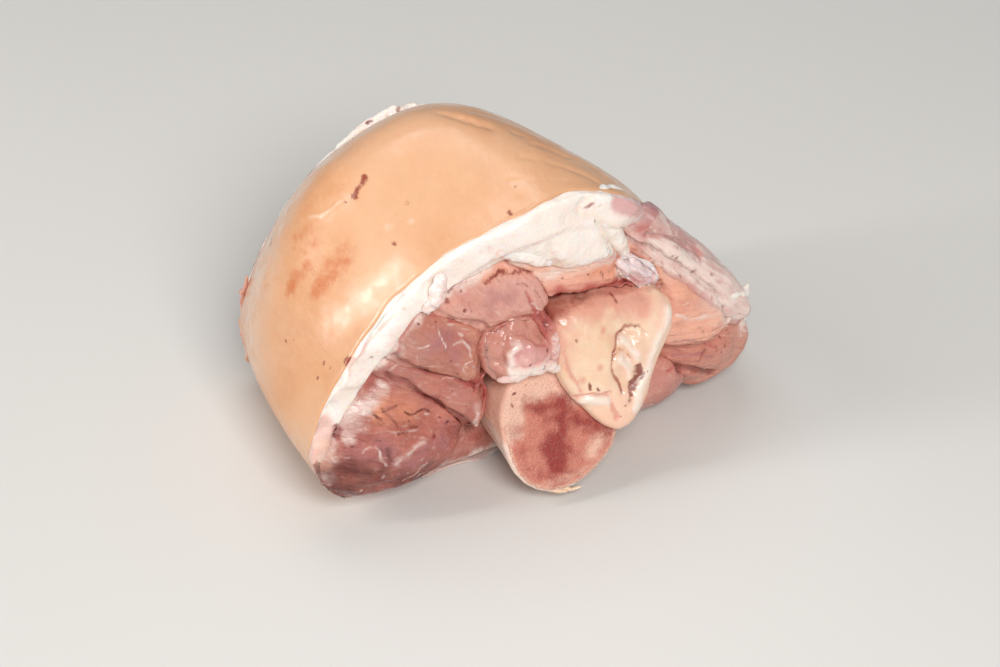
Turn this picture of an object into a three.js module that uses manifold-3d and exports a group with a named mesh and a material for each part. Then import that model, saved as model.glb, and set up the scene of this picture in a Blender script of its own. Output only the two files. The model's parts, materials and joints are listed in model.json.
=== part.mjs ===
// A raw pork hock: a thick slice through the joint of a pig's leg, lying on its side.
// Rind and fat wrap the top, the left and the underside. The near cut shows the muscles round two bone ends,
// and the far cut goes square through the shank.
//
// Units are millimetres. The finished group stands on z = 0, +Z up. The pieces are drawn in the leg's own
// frame: u runs to the right across the near cut, v runs up, and w runs along the leg, out of the near cut.
import * as THREE from "three";
import { mergeVertices } from "three/addons/utils/BufferGeometryUtils.js";
import Module from "manifold-3d";

const wasm = await Module();
wasm.setup();

// ---------------------------------------------------------------- driving dimensions
const AXIS_HEIGHT = 42; // the leg's axis above the surface that it lies on
const LEG_YAW = THREE.MathUtils.degToRad(26); // how far the leg's axis turns from -Y towards +X
const GAP = 0.3; // between neighbouring pieces
const RIND_THICKNESS = 3;
const FAR_CUT = -78; // where the shank was sawn through, along w
const RIND_DRAW_BACK = 2; // how far the rind draws back from the far cut
const FAT_AHEAD = 1.5; // how far the fat bulges past the rind at the near cut
const UNDERCUT = { from: -20, slope: 0.35 }; // below this v, the near cut slants back under the leg
const FLANK_CUT = { from: 40, facing: [0.67, 0, 0.74] }; // right of this u, the flank is cut bare
const DEEP = -90; // beyond the far cut, where the pieces' own shapes end
const AHEAD = 100; // in front of everything
const WORLD = 400; // larger than the hock
const SIDE_STATIONS = [-6, -22, -38, -50, -64, -78]; // where the pieces' sides bend

// The leg's girth along its length: its sides, top and underside at even stations of w, and how far its top
// leans. The pieces are drawn for the first station, and follow the others as the leg swells and tapers.
const STATION_STEP = -15;
const GIRTH = [
  { left: -76, right: 88, top: 61, under: -43, lean: 0 },
  { left: -77, right: 88, top: 66, under: -44, lean: -6 },
  { left: -77, right: 84, top: 71, under: -44, lean: -15 },
  { left: -76, right: 77, top: 74.5, under: -44, lean: -21 },
  { left: -74, right: 66, top: 65, under: -43, lean: -10 },
  { left: -69, right: 53, top: 52, under: -41, lean: -2 },
  { left: -63, right: 42, top: 38, under: -38, lean: 0 },
];
const LEAN_FROM = -14; // the leg leans above this v

// Closed outlines across the leg, as [u, v], anticlockwise from the right.
const LEG_OUTLINE = [
  [88, -18], [85, -5], [73, 12], [63, 26], [53, 40], [42, 51], [26, 59.5], [9, 61], [-14, 55], [-31, 47],
  [-45, 36], [-58, 20], [-68, 4], [-75, -13], [-70, -28], [-53, -40], [-30, -43], [10, -43], [45, -42],
  [70, -38], [84, -31],
];
const MEAT_OUTLINE = [
  [80, -16], [76, -4], [65, 10], [55, 24], [46, 36], [36, 43], [24, 47], [9, 46], [-12, 41], [-28, 38],
  [-39, 31], [-47, 20], [-58, 6], [-69, -13], [-65, -26], [-52, -35], [-30, -37.5], [10, -37.5], [42, -36],
  [64, -33], [76, -27],
];

// ---------------------------------------------------------------- shape tools
const smoothLoop = (points, count) =>
  new THREE.CatmullRomCurve3(
    points.map(([u, v]) => new THREE.Vector3(u, v, 0)),
    true,
    "centripetal",
  )
    .getSpacedPoints(count)
    .slice(0, count);

// Moves a loop of points outwards by a distance, or inwards where the distance is negative.
function offsetLoop(loop, distance) {
  return loop.map((point, i) => {
    const before = loop.at(i - 1);
    const after = loop[(i + 1) % loop.length];
    const along = after.clone().sub(before).normalize();
    return new THREE.Vector3(point.x + along.y * distance, point.y - along.x * distance, 0);
  });
}

const middleOf = (loop) =>
  loop.reduce((sum, point) => sum.add(point), new THREE.Vector3()).divideScalar(loop.length);

// The girth between two stations, eased by a Catmull-Rom spline.
function girthAt(w) {
  const last = GIRTH.length - 1;
  const place = THREE.MathUtils.clamp(w / STATION_STEP, 0, last - 1e-6);
  const i = Math.floor(place);
  const t = place - i;
  const around = [i - 1, i, i + 1, i + 2].map((k) => GIRTH[THREE.MathUtils.clamp(k, 0, last)]);
  const ease = (key) => {
    const [a, b, c, d] = around.map((station) => station[key]);
    return b + 0.5 * t * (c - a + t * (2 * a - 5 * b + 4 * c - d + t * (3 * (b - c) + d - a)));
  };
  return Object.fromEntries(Object.keys(GIRTH[0]).map((key) => [key, ease(key)]));
}

// Moves a geometry's vertices from the straight leg to the leg that swells, leans and tapers.
function followLeg(geometry) {
  const near = GIRTH[0];
  const position = geometry.getAttribute("position");
  for (let i = 0; i < position.count; i += 1) {
    const girth = girthAt(position.getZ(i));
    const across = (position.getX(i) - near.left) / (near.right - near.left);
    const up = (position.getY(i) - near.under) / (near.top - near.under);
    const high = Math.max(0, (position.getY(i) - LEAN_FROM) / (near.top - LEAN_FROM));
    position.setX(i, THREE.MathUtils.lerp(girth.left, girth.right, across) + girth.lean * high);
    position.setY(i, THREE.MathUtils.lerp(girth.under, girth.top, up));
  }
  return geometry;
}

// A closed geometry as a manifold-3d solid.
function solidOf(geometry) {
  const bare = geometry.clone();
  bare.deleteAttribute("normal");
  bare.deleteAttribute("uv");
  const merged = mergeVertices(bare, 1e-4);
  return new wasm.Manifold(
    new wasm.Mesh({
      numProp: 3,
      vertProperties: new Float32Array(merged.attributes.position.array),
      triVerts: new Uint32Array(merged.index.array),
    }),
  );
}

// A closed lathe form whose rings are drawn out to loops of points. The first and last rings are points.
function lofted(rings) {
  const segments = rings[0].length;
  const last = rings.length - 1;
  const profile = rings.map((ring, i) => new THREE.Vector2(i === 0 || i === last ? 0 : 1, i));
  const geometry = new THREE.LatheGeometry(profile, segments);
  const position = geometry.getAttribute("position");
  for (let column = 0; column <= segments; column += 1) {
    rings.forEach((ring, i) => position.setXYZ(column * rings.length + i, ...ring[column % segments]));
  }
  return solidOf(followLeg(geometry));
}

// A piece that runs along the leg: an outline with a rounded, crowned and tilted front, and a flat back.
// Behind its front it can turn into another outline.
function lobe(form, grow) {
  const { outline, front, slope = 0, crown = 2, edge = 4, back = DEEP, sides = 20, rear = null } = form;
  const loop = offsetLoop(smoothLoop(outline, sides), grow);
  const rearLoop = rear ? offsetLoop(smoothLoop(rear.outline, sides), grow) : loop;
  const middle = middleOf(loop);

  const frontRing = (share, inset, lift) =>
    loop.map((point) => {
      const kept = share * Math.max(0, 1 - inset / point.distanceTo(middle));
      const place = middle.clone().lerp(point, kept);
      return place.setZ(front + grow + slope * (place.y - middle.y) + lift);
    });
  const sideRing = (w) => {
    const turned = rear ? THREE.MathUtils.smoothstep(-w, -rear.from, -rear.to) : 0;
    return loop.map((point, i) => point.clone().lerp(rearLoop[i], turned).setZ(w));
  };

  const rounded = [
    frontRing(0, 0, crown),
    frontRing(0.4, edge, 0.85 * crown),
    frontRing(0.75, edge, 0.45 * crown),
    frontRing(1, edge, 0),
    frontRing(1, 0.3 * edge, -0.3 * edge),
    frontRing(1, 0, -edge),
  ];
  const start = Math.min(...rounded.at(-1).map((point) => point.z));
  const end = back - grow;
  const stations = SIDE_STATIONS.filter((w) => w < start - 3 && w > end + 3);
  const straight = [...stations, end].map(sideRing);
  const hub = middleOf(straight.at(-1));
  return lofted([...rounded, ...straight, loop.map(() => hub)].reverse());
}

// A plain length of an outline along the leg.
function prism(outline, grow, front, back = DEEP, sides = 36) {
  const loop = offsetLoop(smoothLoop(outline, sides), grow);
  const middle = middleOf(loop);
  const ends = [front, ...SIDE_STATIONS.filter((w) => w < front - 3 && w > back + 3), back];
  const hub = (w) => loop.map(() => middle.clone().setZ(w));
  const across = ends.map((w) => loop.map((point) => point.clone().setZ(w)));
  return lofted([hub(front), ...across, hub(back)].reverse());
}

const circle = (u, v, radius) =>
  Array.from({ length: 12 }, (_, i) => {
    const angle = (i * Math.PI) / 6;
    return [u + radius * Math.cos(angle), v + radius * Math.sin(angle)];
  });

// All of space behind a plane, as a large block. The plane passes through a point, and faces along a normal.
function behind(point, normal) {
  const block = new THREE.BoxGeometry(WORLD, WORLD, WORLD).translate(0, 0, -WORLD / 2);
  block.lookAt(new THREE.Vector3(...normal).normalize());
  block.translate(...point);
  return solidOf(block);
}

// What the leg can fill: above the surface, and ahead of the far cut.
const wholeBlock = () => new THREE.BoxGeometry(WORLD, WORLD, WORLD);
const aboveSurface = solidOf(wholeBlock().translate(0, WORLD / 2 - AXIS_HEIGHT, 0));
const aheadOfFarCut = solidOf(wholeBlock().translate(0, 0, WORLD / 2 + FAR_CUT));
const within = aboveSurface.intersect(aheadOfFarCut);

// ---------------------------------------------------------------- the pieces
// Each is a function of how far it is grown: 0 is the piece itself, and GAP is the room that it needs.

// Where the rind and fat are: behind the near cut, which slants back under the leg, and off the bare flank.
const wrapped = (grow, ahead) =>
  behind([0, 0, ahead + grow], [0, 0, 1])
    .intersect(behind([0, UNDERCUT.from, ahead + grow], [0, -UNDERCUT.slope, 1]))
    .intersect(behind([FLANK_CUT.from - ahead + grow, 0, 0], FLANK_CUT.facing));

const rindInside = (grow) => prism(LEG_OUTLINE, -RIND_THICKNESS - grow, AHEAD);
const fatInside = (grow) => prism(MEAT_OUTLINE, -grow, AHEAD);

const rind = () =>
  prism(LEG_OUTLINE, 0, AHEAD)
    .subtract(rindInside(0))
    .intersect(wrapped(0, 0))
    .intersect(behind([0, 0, FAR_CUT + RIND_DRAW_BACK], [0, 0, -1]));
const rindRoom = () => wrapped(GAP, 0).subtract(rindInside(GAP));

const fatPad = (grow) =>
  lobe(
    {
      outline: [
        [33, 33], [32, 42], [31, 52], [24, 62], [9, 66], [-4, 63], [-14, 56], [-9, 47], [2, 40], [12, 35],
        [24, 33],
      ],
      front: 1.5,
      slope: -0.25,
      back: -25,
    },
    grow,
  );

const fatLayer = () =>
  wrapped(0, FAT_AHEAD)
    .subtract(fatInside(0))
    .add(fatPad(0))
    .intersect(rindInside(GAP));
const fatRoom = () => wrapped(GAP, FAT_AHEAD).subtract(fatInside(GAP)).add(fatPad(GAP));

// The shank bone. Its joint end is a ridged knob at the near cut, and its round shaft runs to the far cut.
const shankBone = (grow) =>
  lobe(
    {
      outline: [
        [51, 11], [47, 15], [32, 18], [16, 21], [8, 20], [6, 10], [8, -4], [17, -16], [24, -22], [33, -18],
        [42, -5], [50, 6],
      ],
      front: 15,
      slope: -0.45,
      edge: 5,
      sides: 28,
      rear: { outline: circle(16, 4, 14), from: -4, to: -30 },
    },
    grow,
  );

// The stub of the upper bone, sawn flat across. Its side is smooth gristle.
const sawnBone = (grow) =>
  lobe(
    {
      outline: [
        [26, -20], [25, -12], [17, -6], [11, 0], [4, 3], [-5, 2], [-11, -3], [-14, -13], [-13.5, -23],
        [-10, -31], [-2, -36], [9, -36], [18, -32], [24.5, -26.5],
      ],
      front: 18,
      slope: -0.45,
      crown: 0.3,
      edge: 1.5,
      back: -12,
      sides: 28,
      rear: { outline: circle(4, -17, 18), from: 12, to: -2 },
    },
    grow,
  );

const jointCartilage = (grow) =>
  lobe(
    {
      outline: [[11, 9], [6, 17], [-5, 22], [-13, 19], [-15, 11], [-12, 3], [-1, 1], [8, 2]],
      front: 10.5,
      slope: -0.3,
      crown: 3,
      back: -8,
      sides: 16,
    },
    grow,
  );

const tendon = (grow) =>
  lobe(
    {
      outline: [[49, 18], [44, 26], [38, 30], [35, 27], [38, 21], [45, 15]],
      front: 5,
      crown: 1.5,
      edge: 2.5,
      back: -8,
      sides: 12,
    },
    grow,
  );

const lowerLeftMuscle = (grow) =>
  lobe(
    {
      outline: [
        [-21, -16], [-29, -4], [-37, 5], [-46, 12], [-57, 10], [-68, 3], [-76, -7], [-75, -19], [-66, -30],
        [-50, -34], [-34, -32], [-24, -26],
      ],
      front: 4,
      slope: -0.2,
      crown: 5,
      edge: 7,
      sides: 24,
    },
    grow,
  );

const wedgeMuscle = (grow) =>
  lobe(
    {
      outline: [
        [-13, -8], [-15, 1], [-30, 9], [-42, 16], [-52, 19], [-50, 12], [-40, 4], [-29, -6], [-19, -19],
      ],
      front: 4,
      slope: -0.2,
      edge: 3,
    },
    grow,
  );

const middleMuscle = (grow) =>
  lobe(
    {
      outline: [
        [-10, 9], [-15, 20], [-24, 28], [-32, 35], [-40, 36], [-47, 28], [-48, 20], [-42, 15], [-30, 8],
        [-16, 0],
      ],
      front: 4.5,
      slope: -0.2,
      crown: 2.5,
    },
    grow,
  );

const rightMuscle = (grow) =>
  lobe(
    {
      outline: [
        [88, -24], [86, -15], [76, -12], [66, -8], [54, -5], [47, -16], [48, -26], [58, -34], [71, -36],
        [82, -32],
      ],
      front: 0,
      slope: -0.2,
      crown: 4,
      edge: 7,
    },
    grow,
  );

// The muscle under the bones. It swells towards the far cut.
const underMuscle = (grow) =>
  lobe(
    {
      outline: [[63, -27], [54, -18], [42, -16], [30, -24], [32, -36], [44, -38], [56, -36]],
      front: 3,
      rear: {
        outline: [[60, -28], [52, -12], [32, -9], [6, -12], [-14, -6], [-24, -18], [-18, -34], [30, -38]],
        from: -12,
        to: -38,
      },
    },
    grow,
  );

const flankMuscle = (grow) =>
  lobe(
    {
      outline: [
        [87, -12], [82, 1], [72, 13.5], [62, 27], [52, 40], [42, 50], [34, 55], [28, 54], [31, 44], [40, 32],
        [52, 17], [68, -1], [80, -16],
      ],
      front: -1,
      slope: -0.1,
      edge: 5,
      sides: 24,
    },
    grow,
  );

const upperMuscle = (grow) =>
  lobe(
    {
      outline: [
        [10, 13], [9, 25], [2, 37], [-10, 42], [-22, 43], [-33, 40], [-36, 35], [-24, 27], [-15, 18],
        [-12, 10], [-4, 10], [6, 7],
      ],
      front: 4,
      slope: -0.2,
    },
    grow,
  );

const bandMuscle = (grow) =>
  lobe(
    {
      outline: [
        [78, -10], [66, 4], [54, 18], [42, 31], [30, 39], [10, 45], [-6, 42], [-2, 25], [8, 10], [40, -4],
        [62, -14],
      ],
      front: 2.5,
      slope: -0.12,
      crown: 1,
      edge: 3,
    },
    grow,
  );

const connectiveTissue = (grow) => prism(MEAT_OUTLINE, grow, -2.5);

// ---------------------------------------------------------------- materials
const finish = (color, roughness) => new THREE.MeshStandardMaterial({ color, roughness, metalness: 0 });
const RIND = finish(0xe9b98c, 0.35);
const FAT = finish(0xf3e6d8, 0.4);
const MUSCLE = finish(0xc98578, 0.4);
const GRISTLE = finish(0xf0e2d6, 0.3);
const BONE = finish(0xefdcb4, 0.3);
const MARROW = finish(0xc67a66, 0.5);

// ---------------------------------------------------------------- assembly
// In the order that they cut each other. A piece whose room isn't its own shape, grown, states it.
const PIECES = [
  { name: "rind", shape: rind, room: rindRoom, material: RIND },
  { name: "sawn_bone", shape: sawnBone, material: MARROW },
  { name: "shank_bone", shape: shankBone, material: BONE },
  { name: "joint_cartilage", shape: jointCartilage, material: GRISTLE },
  { name: "fat_layer", shape: fatLayer, room: fatRoom, material: FAT },
  { name: "tendon", shape: tendon, material: GRISTLE },
  { name: "lower_left_muscle", shape: lowerLeftMuscle, material: MUSCLE },
  { name: "wedge_muscle", shape: wedgeMuscle, material: MUSCLE },
  { name: "middle_muscle", shape: middleMuscle, material: MUSCLE },
  { name: "right_muscle", shape: rightMuscle, material: MUSCLE },
  { name: "under_muscle", shape: underMuscle, material: MUSCLE },
  { name: "flank_muscle", shape: flankMuscle, material: MUSCLE },
  { name: "upper_muscle", shape: upperMuscle, material: MUSCLE },
  { name: "band_muscle", shape: bandMuscle, material: MUSCLE },
  { name: "connective_tissue", shape: connectiveTissue, material: GRISTLE },
];

// A cut can leave crumbs beside the piece. Only the piece is kept.
const largest = (solid) => solid.decompose().sort((a, b) => b.volume() - a.volume())[0];

function meshOf(name, solid, material) {
  const { vertProperties, triVerts } = solid.getMesh();
  const geometry = new THREE.BufferGeometry();
  geometry.setAttribute("position", new THREE.BufferAttribute(vertProperties, 3));
  geometry.setIndex(new THREE.BufferAttribute(triVerts, 1));
  geometry.computeVertexNormals();
  const mesh = new THREE.Mesh(geometry, material);
  mesh.name = name;
  return mesh;
}

// The leg's own frame: u becomes +X, v becomes +Z and w becomes -Y, and then the leg turns by its yaw.
const leg = new THREE.Group();
leg.rotation.x = Math.PI / 2;
leg.position.z = AXIS_HEIGHT;
const hock = new THREE.Group();
hock.rotation.z = LEG_YAW;
hock.add(leg);

let taken = within.subtract(within);
for (const { name, shape, room = shape, material } of PIECES) {
  leg.add(meshOf(name, largest(shape(0).intersect(within).subtract(taken)), material));
  taken = taken.add(room(GAP));
}

// The frame's origin is under the middle of the hock's box, on the surface.
const root = new THREE.Group();
root.add(hock);
root.updateMatrixWorld(true);
const middle = new THREE.Box3().setFromObject(root, true).getCenter(new THREE.Vector3());
hock.position.set(-middle.x, -middle.y, 0);

export default root;
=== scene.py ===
"""A raw pork hock lying on its side: rind and fat round the leg's muscles, with two bone ends at the near cut.

Shapes are worked out in millimetres in the leg's own frame, and the finished meshes are in metres.
"""

import json
import logging
import math
from collections.abc import Iterable, Mapping
from dataclasses import dataclass, field
from enum import Enum

import bmesh
import bpy
import numpy as np
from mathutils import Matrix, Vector
from mathutils.bvhtree import BVHTree

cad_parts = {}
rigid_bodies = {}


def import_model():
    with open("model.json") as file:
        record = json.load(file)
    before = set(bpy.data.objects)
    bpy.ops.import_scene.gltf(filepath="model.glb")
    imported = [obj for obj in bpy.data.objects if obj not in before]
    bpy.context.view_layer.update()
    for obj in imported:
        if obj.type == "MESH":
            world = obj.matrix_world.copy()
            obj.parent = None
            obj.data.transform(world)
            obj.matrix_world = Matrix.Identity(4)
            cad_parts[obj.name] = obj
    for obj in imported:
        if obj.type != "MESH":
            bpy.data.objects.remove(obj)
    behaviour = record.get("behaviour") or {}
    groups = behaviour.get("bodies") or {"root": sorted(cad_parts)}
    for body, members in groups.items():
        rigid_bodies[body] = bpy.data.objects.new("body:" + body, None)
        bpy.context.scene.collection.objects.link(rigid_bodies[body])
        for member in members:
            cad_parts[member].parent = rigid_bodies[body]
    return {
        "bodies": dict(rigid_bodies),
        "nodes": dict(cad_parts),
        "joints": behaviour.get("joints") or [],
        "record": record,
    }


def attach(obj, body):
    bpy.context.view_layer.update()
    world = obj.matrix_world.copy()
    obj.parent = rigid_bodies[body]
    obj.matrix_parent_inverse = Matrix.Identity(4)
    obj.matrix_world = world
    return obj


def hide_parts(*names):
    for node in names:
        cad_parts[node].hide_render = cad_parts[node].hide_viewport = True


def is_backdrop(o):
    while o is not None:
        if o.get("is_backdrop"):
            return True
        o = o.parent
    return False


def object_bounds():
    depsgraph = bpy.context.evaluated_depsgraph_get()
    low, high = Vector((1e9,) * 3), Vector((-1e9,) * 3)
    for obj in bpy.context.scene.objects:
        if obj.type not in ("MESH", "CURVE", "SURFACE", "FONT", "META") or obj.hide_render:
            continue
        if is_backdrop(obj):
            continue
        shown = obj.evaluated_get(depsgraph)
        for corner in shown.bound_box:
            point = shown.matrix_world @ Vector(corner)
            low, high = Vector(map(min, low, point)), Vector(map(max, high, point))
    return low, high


LOG = logging.getLogger("pork_hock")

Colour = tuple[float, float, float, float]
Point = tuple[float, ...]
Path = tuple[Point, ...]
Value = float | Colour | Point | bpy.types.NodeSocket

MILLIMETRE = 0.001
FAR_CUT = -78.0  # where the shank was sawn through, along w
NEAR_ZONE = -16.0  # the near cut's pieces show ahead of this w
RIND_LEFT = -76.26  # the rind's leftmost place, along u
CUT_LOW, CUT_HIGH = (-76, -42), (86, 48)  # the near cut's corners, as u and v
MARK_REACH = 3  # how many widths away a mark is still felt
STRAY = 0.8  # how far marks stray from their paths, in millimetres


def tone(red: int, green: int, blue: int) -> Colour:
    """A colour from its display values.

    Args:
        red: 0 to 255.
        green: 0 to 255.
        blue: 0 to 255.

    Returns:
        The colour in linear light, with full alpha.
    """
    parts = [value / 255 for value in (red, green, blue)]
    linear = [p / 12.92 if p <= 0.04045 else ((p + 0.055) / 1.055) ** 2.4 for p in parts]
    return (*linear, 1.0)


class Tissue(Enum):
    """The kinds of tissue that the pieces are given."""

    RIND = "rind"
    MARROW_BONE = "marrow_bone"
    BONE = "bone"
    GRISTLE = "gristle"
    FAT = "fat"
    MUSCLE = "muscle"
    FASCIA_MUSCLE = "fascia_muscle"
    CONNECTIVE = "connective_tissue"


class Stain(Enum):
    """The fields painted over the pieces' vertices."""

    BLOOD = "blood"
    PALE = "pale"
    DARK = "dark"
    RAW = "raw"
    WARM = "warm"
    MAUVE = "mauve"
    # painted shade where a piece lies close to its neighbours, over the dark of the joins between them
    SEAM = "seam_shade"
    FILM = "film"
    FACE = "face"
    EDGE = "edge"
    DULL = "dull"


# ---------------------------------------------------------------- places and shapes
@dataclass(frozen=True)
class LegFrame:
    """The leg's own frame: u to the right across the near cut, v up, w along the leg and out of the near cut."""

    left: float
    near: float
    yaw: float = math.radians(26)
    axis_height: float = 42.0

    @classmethod
    def of(cls, rind: bpy.types.Object) -> "LegFrame":
        """The frame of the leg that wears this rind.

        Args:
            rind: the rind's node.

        Returns:
            The frame, with w = 0 at the rind's near cut.
        """
        loose = cls(0.0, 0.0)
        places = loose.to_leg(points_of(rind.data))
        return cls(float(places[:, 0].min()) - RIND_LEFT, float(places[:, 2].max()))

    @property
    def turn(self) -> np.ndarray:
        """The rows are u, v and w in the row frame."""
        c, s = math.cos(self.yaw), math.sin(self.yaw)
        return np.array([[c, s, 0.0], [0.0, 0.0, 1.0], [s, -c, 0.0]])

    @property
    def origin(self) -> np.ndarray:
        """The leg frame's origin, along u, v and w."""
        return np.array([self.left, self.axis_height, self.near])

    def to_leg(self, points: np.ndarray) -> np.ndarray:
        """Row-frame metres to leg-frame millimetres."""
        return points / MILLIMETRE @ self.turn.T - self.origin

    def to_row(self, points: np.ndarray) -> np.ndarray:
        """Leg-frame millimetres to row-frame metres."""
        return (points + self.origin) @ self.turn * MILLIMETRE

    def direction(self, across: float, up: float, along: float) -> Vector:
        """A leg-frame direction in the row frame."""
        return Vector(np.array([across, up, along]) @ self.turn).normalized()


def rows_of(items: bpy.types.bpy_prop_collection, key: str) -> np.ndarray:
    """Reads three numbers from each item of a mesh.

    Args:
        items: the items.
        key: what the numbers are called.

    Returns:
        Rows of x, y and z.
    """
    flat = np.empty(len(items) * 3, dtype=np.float32)
    items.foreach_get(key, flat)
    return flat.reshape(-1, 3).astype(float)


def points_of(mesh: bpy.types.Mesh) -> np.ndarray:
    """A mesh's vertices, as rows of x, y and z."""
    return rows_of(mesh.vertices, "co")


def normals_of(mesh: bpy.types.Mesh) -> np.ndarray:
    """A mesh's vertex normals, as rows of x, y and z."""
    return rows_of(mesh.vertex_normals, "vector")


def place(mesh: bpy.types.Mesh, points: np.ndarray) -> None:
    """Puts a mesh's vertices at these points."""
    mesh.vertices.foreach_set("co", points.astype(np.float32).ravel())
    mesh.update()


class Lumps:
    """Seeded smooth noise in space, worked out for many points at once."""

    PRIMES = (73856093, 19349663, 83492791)
    LATTICE = 65536  # how many heights the lattice has, a power of two
    CHANNEL_STEP = 20011  # how far apart two channels read them
    OCTAVE_STEP = 19.7  # how far each octave is moved from the one before

    def __init__(self, seed: int) -> None:
        """Draws the heights of the noise's lattice."""
        self.heights = np.random.default_rng(seed).uniform(-1, 1, self.LATTICE)

    def at(self, points: np.ndarray, size: float, octaves: int = 1) -> np.ndarray:
        """The noise at some points.

        Args:
            points: rows of three places.
            size: how wide a lump is.
            octaves: how many finer noises are added, each half as high as the one before.

        Returns:
            Heights from about -1 to 1.
        """
        return self.channels(points, size, octaves, 1)[:, 0]

    def channels(self, points: np.ndarray, size: float, octaves: int, count: int) -> np.ndarray:
        """Several unlike noises at once.

        Args:
            points: rows of three places.
            size: how wide a lump is.
            octaves: how many finer noises are added.
            count: how many noises.

        Returns:
            A column of heights for each noise.
        """
        total = np.zeros((len(points), count))
        turns = np.arange(count) * self.CHANNEL_STEP
        for octave in range(octaves):
            scaled = points / size * 2**octave + self.OCTAVE_STEP * octave
            cell = np.floor(scaled).astype(np.int64)
            t = scaled - cell
            t = t * t * (3 - 2 * t)
            for corner in np.ndindex(2, 2, 2):
                weight = np.prod(np.where(corner, t, 1 - t), axis=1)
                a, b, c = ((cell + corner) * self.PRIMES).T
                key = ((a ^ b ^ c)[:, None] + turns) & (self.LATTICE - 1)
                total += weight[:, None] * self.heights[key] / 2**octave
        return total

    def along(self, points: np.ndarray, grain: np.ndarray, stretch: float, size: float, octaves: int = 1) -> np.ndarray:
        """The noise drawn out along a grain.

        Args:
            points: rows of three places.
            grain: the direction that the lumps are drawn out along.
            stretch: how many times longer than wide they are.
            size: how wide a lump is.
            octaves: how many finer noises are added.

        Returns:
            Heights from about -1 to 1.
        """
        share = np.outer(points @ grain, grain)
        return self.at(points - share * (1 - 1 / stretch), size, octaves)


@dataclass(frozen=True)
class Mark:
    """A mark pressed or painted along a path. A path's points are (u, v) over the near cut, or (u, v, w) in space."""

    path: Path
    width: float
    depth: float = 0.0
    stain: Stain | None = None
    strength: float = 1.0

    def distance(self, places: np.ndarray) -> tuple[np.ndarray, np.ndarray]:
        """How far the nearby places are from the path.

        Args:
            places: rows of u, v and w.

        Returns:
            The indices of the places within reach, and their distances.
        """
        size = len(self.path[0])
        knots = np.array(self.path, dtype=float)
        reach = MARK_REACH * self.width
        near = np.all(places[:, :size] > knots.min(axis=0) - reach, axis=1)
        near &= np.all(places[:, :size] < knots.max(axis=0) + reach, axis=1)
        if size == 2:
            near &= places[:, 2] > NEAR_ZONE
        index = np.flatnonzero(near)
        spots = places[index, :size]
        best = np.full(len(index), np.inf)
        ends = knots[1:] if len(knots) > 1 else knots
        for start, end in zip(knots, ends):
            run = end - start
            length = float(run @ run) or 1.0
            t = np.clip((spots - start) @ run / length, 0, 1)
            best = np.minimum(best, np.linalg.norm(spots - start - np.outer(t, run), axis=1))
        return index, best


def dots(stain: Stain, width: float, *points: Point, depth: float = 0.0, strength: float = 1.0) -> tuple[Mark, ...]:
    """Separate round marks of one width."""
    return tuple(Mark((point,), width, depth, stain, strength) for point in points)


def strayed(places: np.ndarray) -> np.ndarray:
    """Places strayed a little each way, so that marks over them come out uneven."""
    return places + Lumps(31).channels(places, 5.0, 3, 3) * STRAY


def threads(grain: Point, seed: int, count: int = 300) -> tuple[Mark, ...]:
    """Short fibres and flecks strewn over the near cut.

    Args:
        grain: the direction that the fibres mostly run in.
        seed: the seed they are drawn with.
        count: how many there are over the whole cut.

    Returns:
        The marks.
    """
    draw = np.random.default_rng(seed)
    kinds = (
        (Stain.PALE, 0.4, 0.15),
        (Stain.PALE, 0.3, 0.1),
        (Stain.DARK, 0.35, -0.2),
        (Stain.RAW, 0.5, -0.2),
        (Stain.BLOOD, 0.3, 0.0),
    )
    made: list[Mark] = []
    for _ in range(count):
        spot = draw.uniform(CUT_LOW, CUT_HIGH)
        turn = math.atan2(grain[1], grain[0]) + draw.normal(0, 0.45)
        stain, width, depth = kinds[draw.integers(len(kinds))]
        length = draw.uniform(0.4, 1.2) if stain is Stain.BLOOD else draw.uniform(1.5, 7.0)
        run = np.array([math.cos(turn), math.sin(turn)]) * length
        side = np.array([-run[1], run[0]]) * draw.normal(0, 0.15)
        path = (tuple(spot), tuple(spot + run / 2 + side), tuple(spot + run))
        made.append(Mark(path, width, depth, stain, draw.uniform(0.45, 0.9)))
    return tuple(made)


def press(places: np.ndarray, marks: Iterable[Mark]) -> np.ndarray:
    """How far the marks raise each place.

    Args:
        places: rows of u, v and w.
        marks: the marks, of which those with a depth are pressed.

    Returns:
        Heights in millimetres.
    """
    lift = np.zeros(len(places))
    spots = strayed(places)
    for mark in marks:
        if mark.depth:
            index, distance = mark.distance(spots)
            lift[index] += mark.depth * np.exp(-((distance / mark.width) ** 2))
    return lift


def paint(mesh: bpy.types.Mesh, places: np.ndarray, marks: Iterable[Mark], fields: Mapping[Stain, np.ndarray]) -> None:
    """Writes the painted fields on a mesh. A mark's field is a half at its width, so that a material finds its edge.

    Args:
        mesh: the mesh.
        places: its vertices as u, v and w.
        marks: the marks, of which those with a stain are painted.
        fields: fields that are already worked out.
    """
    values = {stain: np.zeros(len(places)) for stain in Stain}
    values.update(fields)
    spots = strayed(places)
    uneven = 1 + 0.35 * Lumps(34).at(places, 4.0, 2)
    for mark in marks:
        if mark.stain:
            index, distance = mark.distance(spots)
            shade = mark.strength * uneven[index] * np.clip(1 - distance / (2 * mark.width), 0, 1)
            values[mark.stain][index] = np.maximum(values[mark.stain][index], shade)
    for stain, shades in values.items():
        layer = mesh.attributes.new(stain.value, "FLOAT", "POINT")
        layer.data.foreach_set("value", shades.astype(np.float32))


def merged(node: bpy.types.Object) -> bmesh.types.BMesh:
    """Copies a node's mesh and joins its triangles.

    Args:
        node: the node.

    Returns:
        The copy, which the caller frees.
    """
    bm = bmesh.new()
    bm.from_mesh(node.data)
    bmesh.ops.remove_doubles(bm, verts=bm.verts, dist=1e-6)
    return bm


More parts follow.
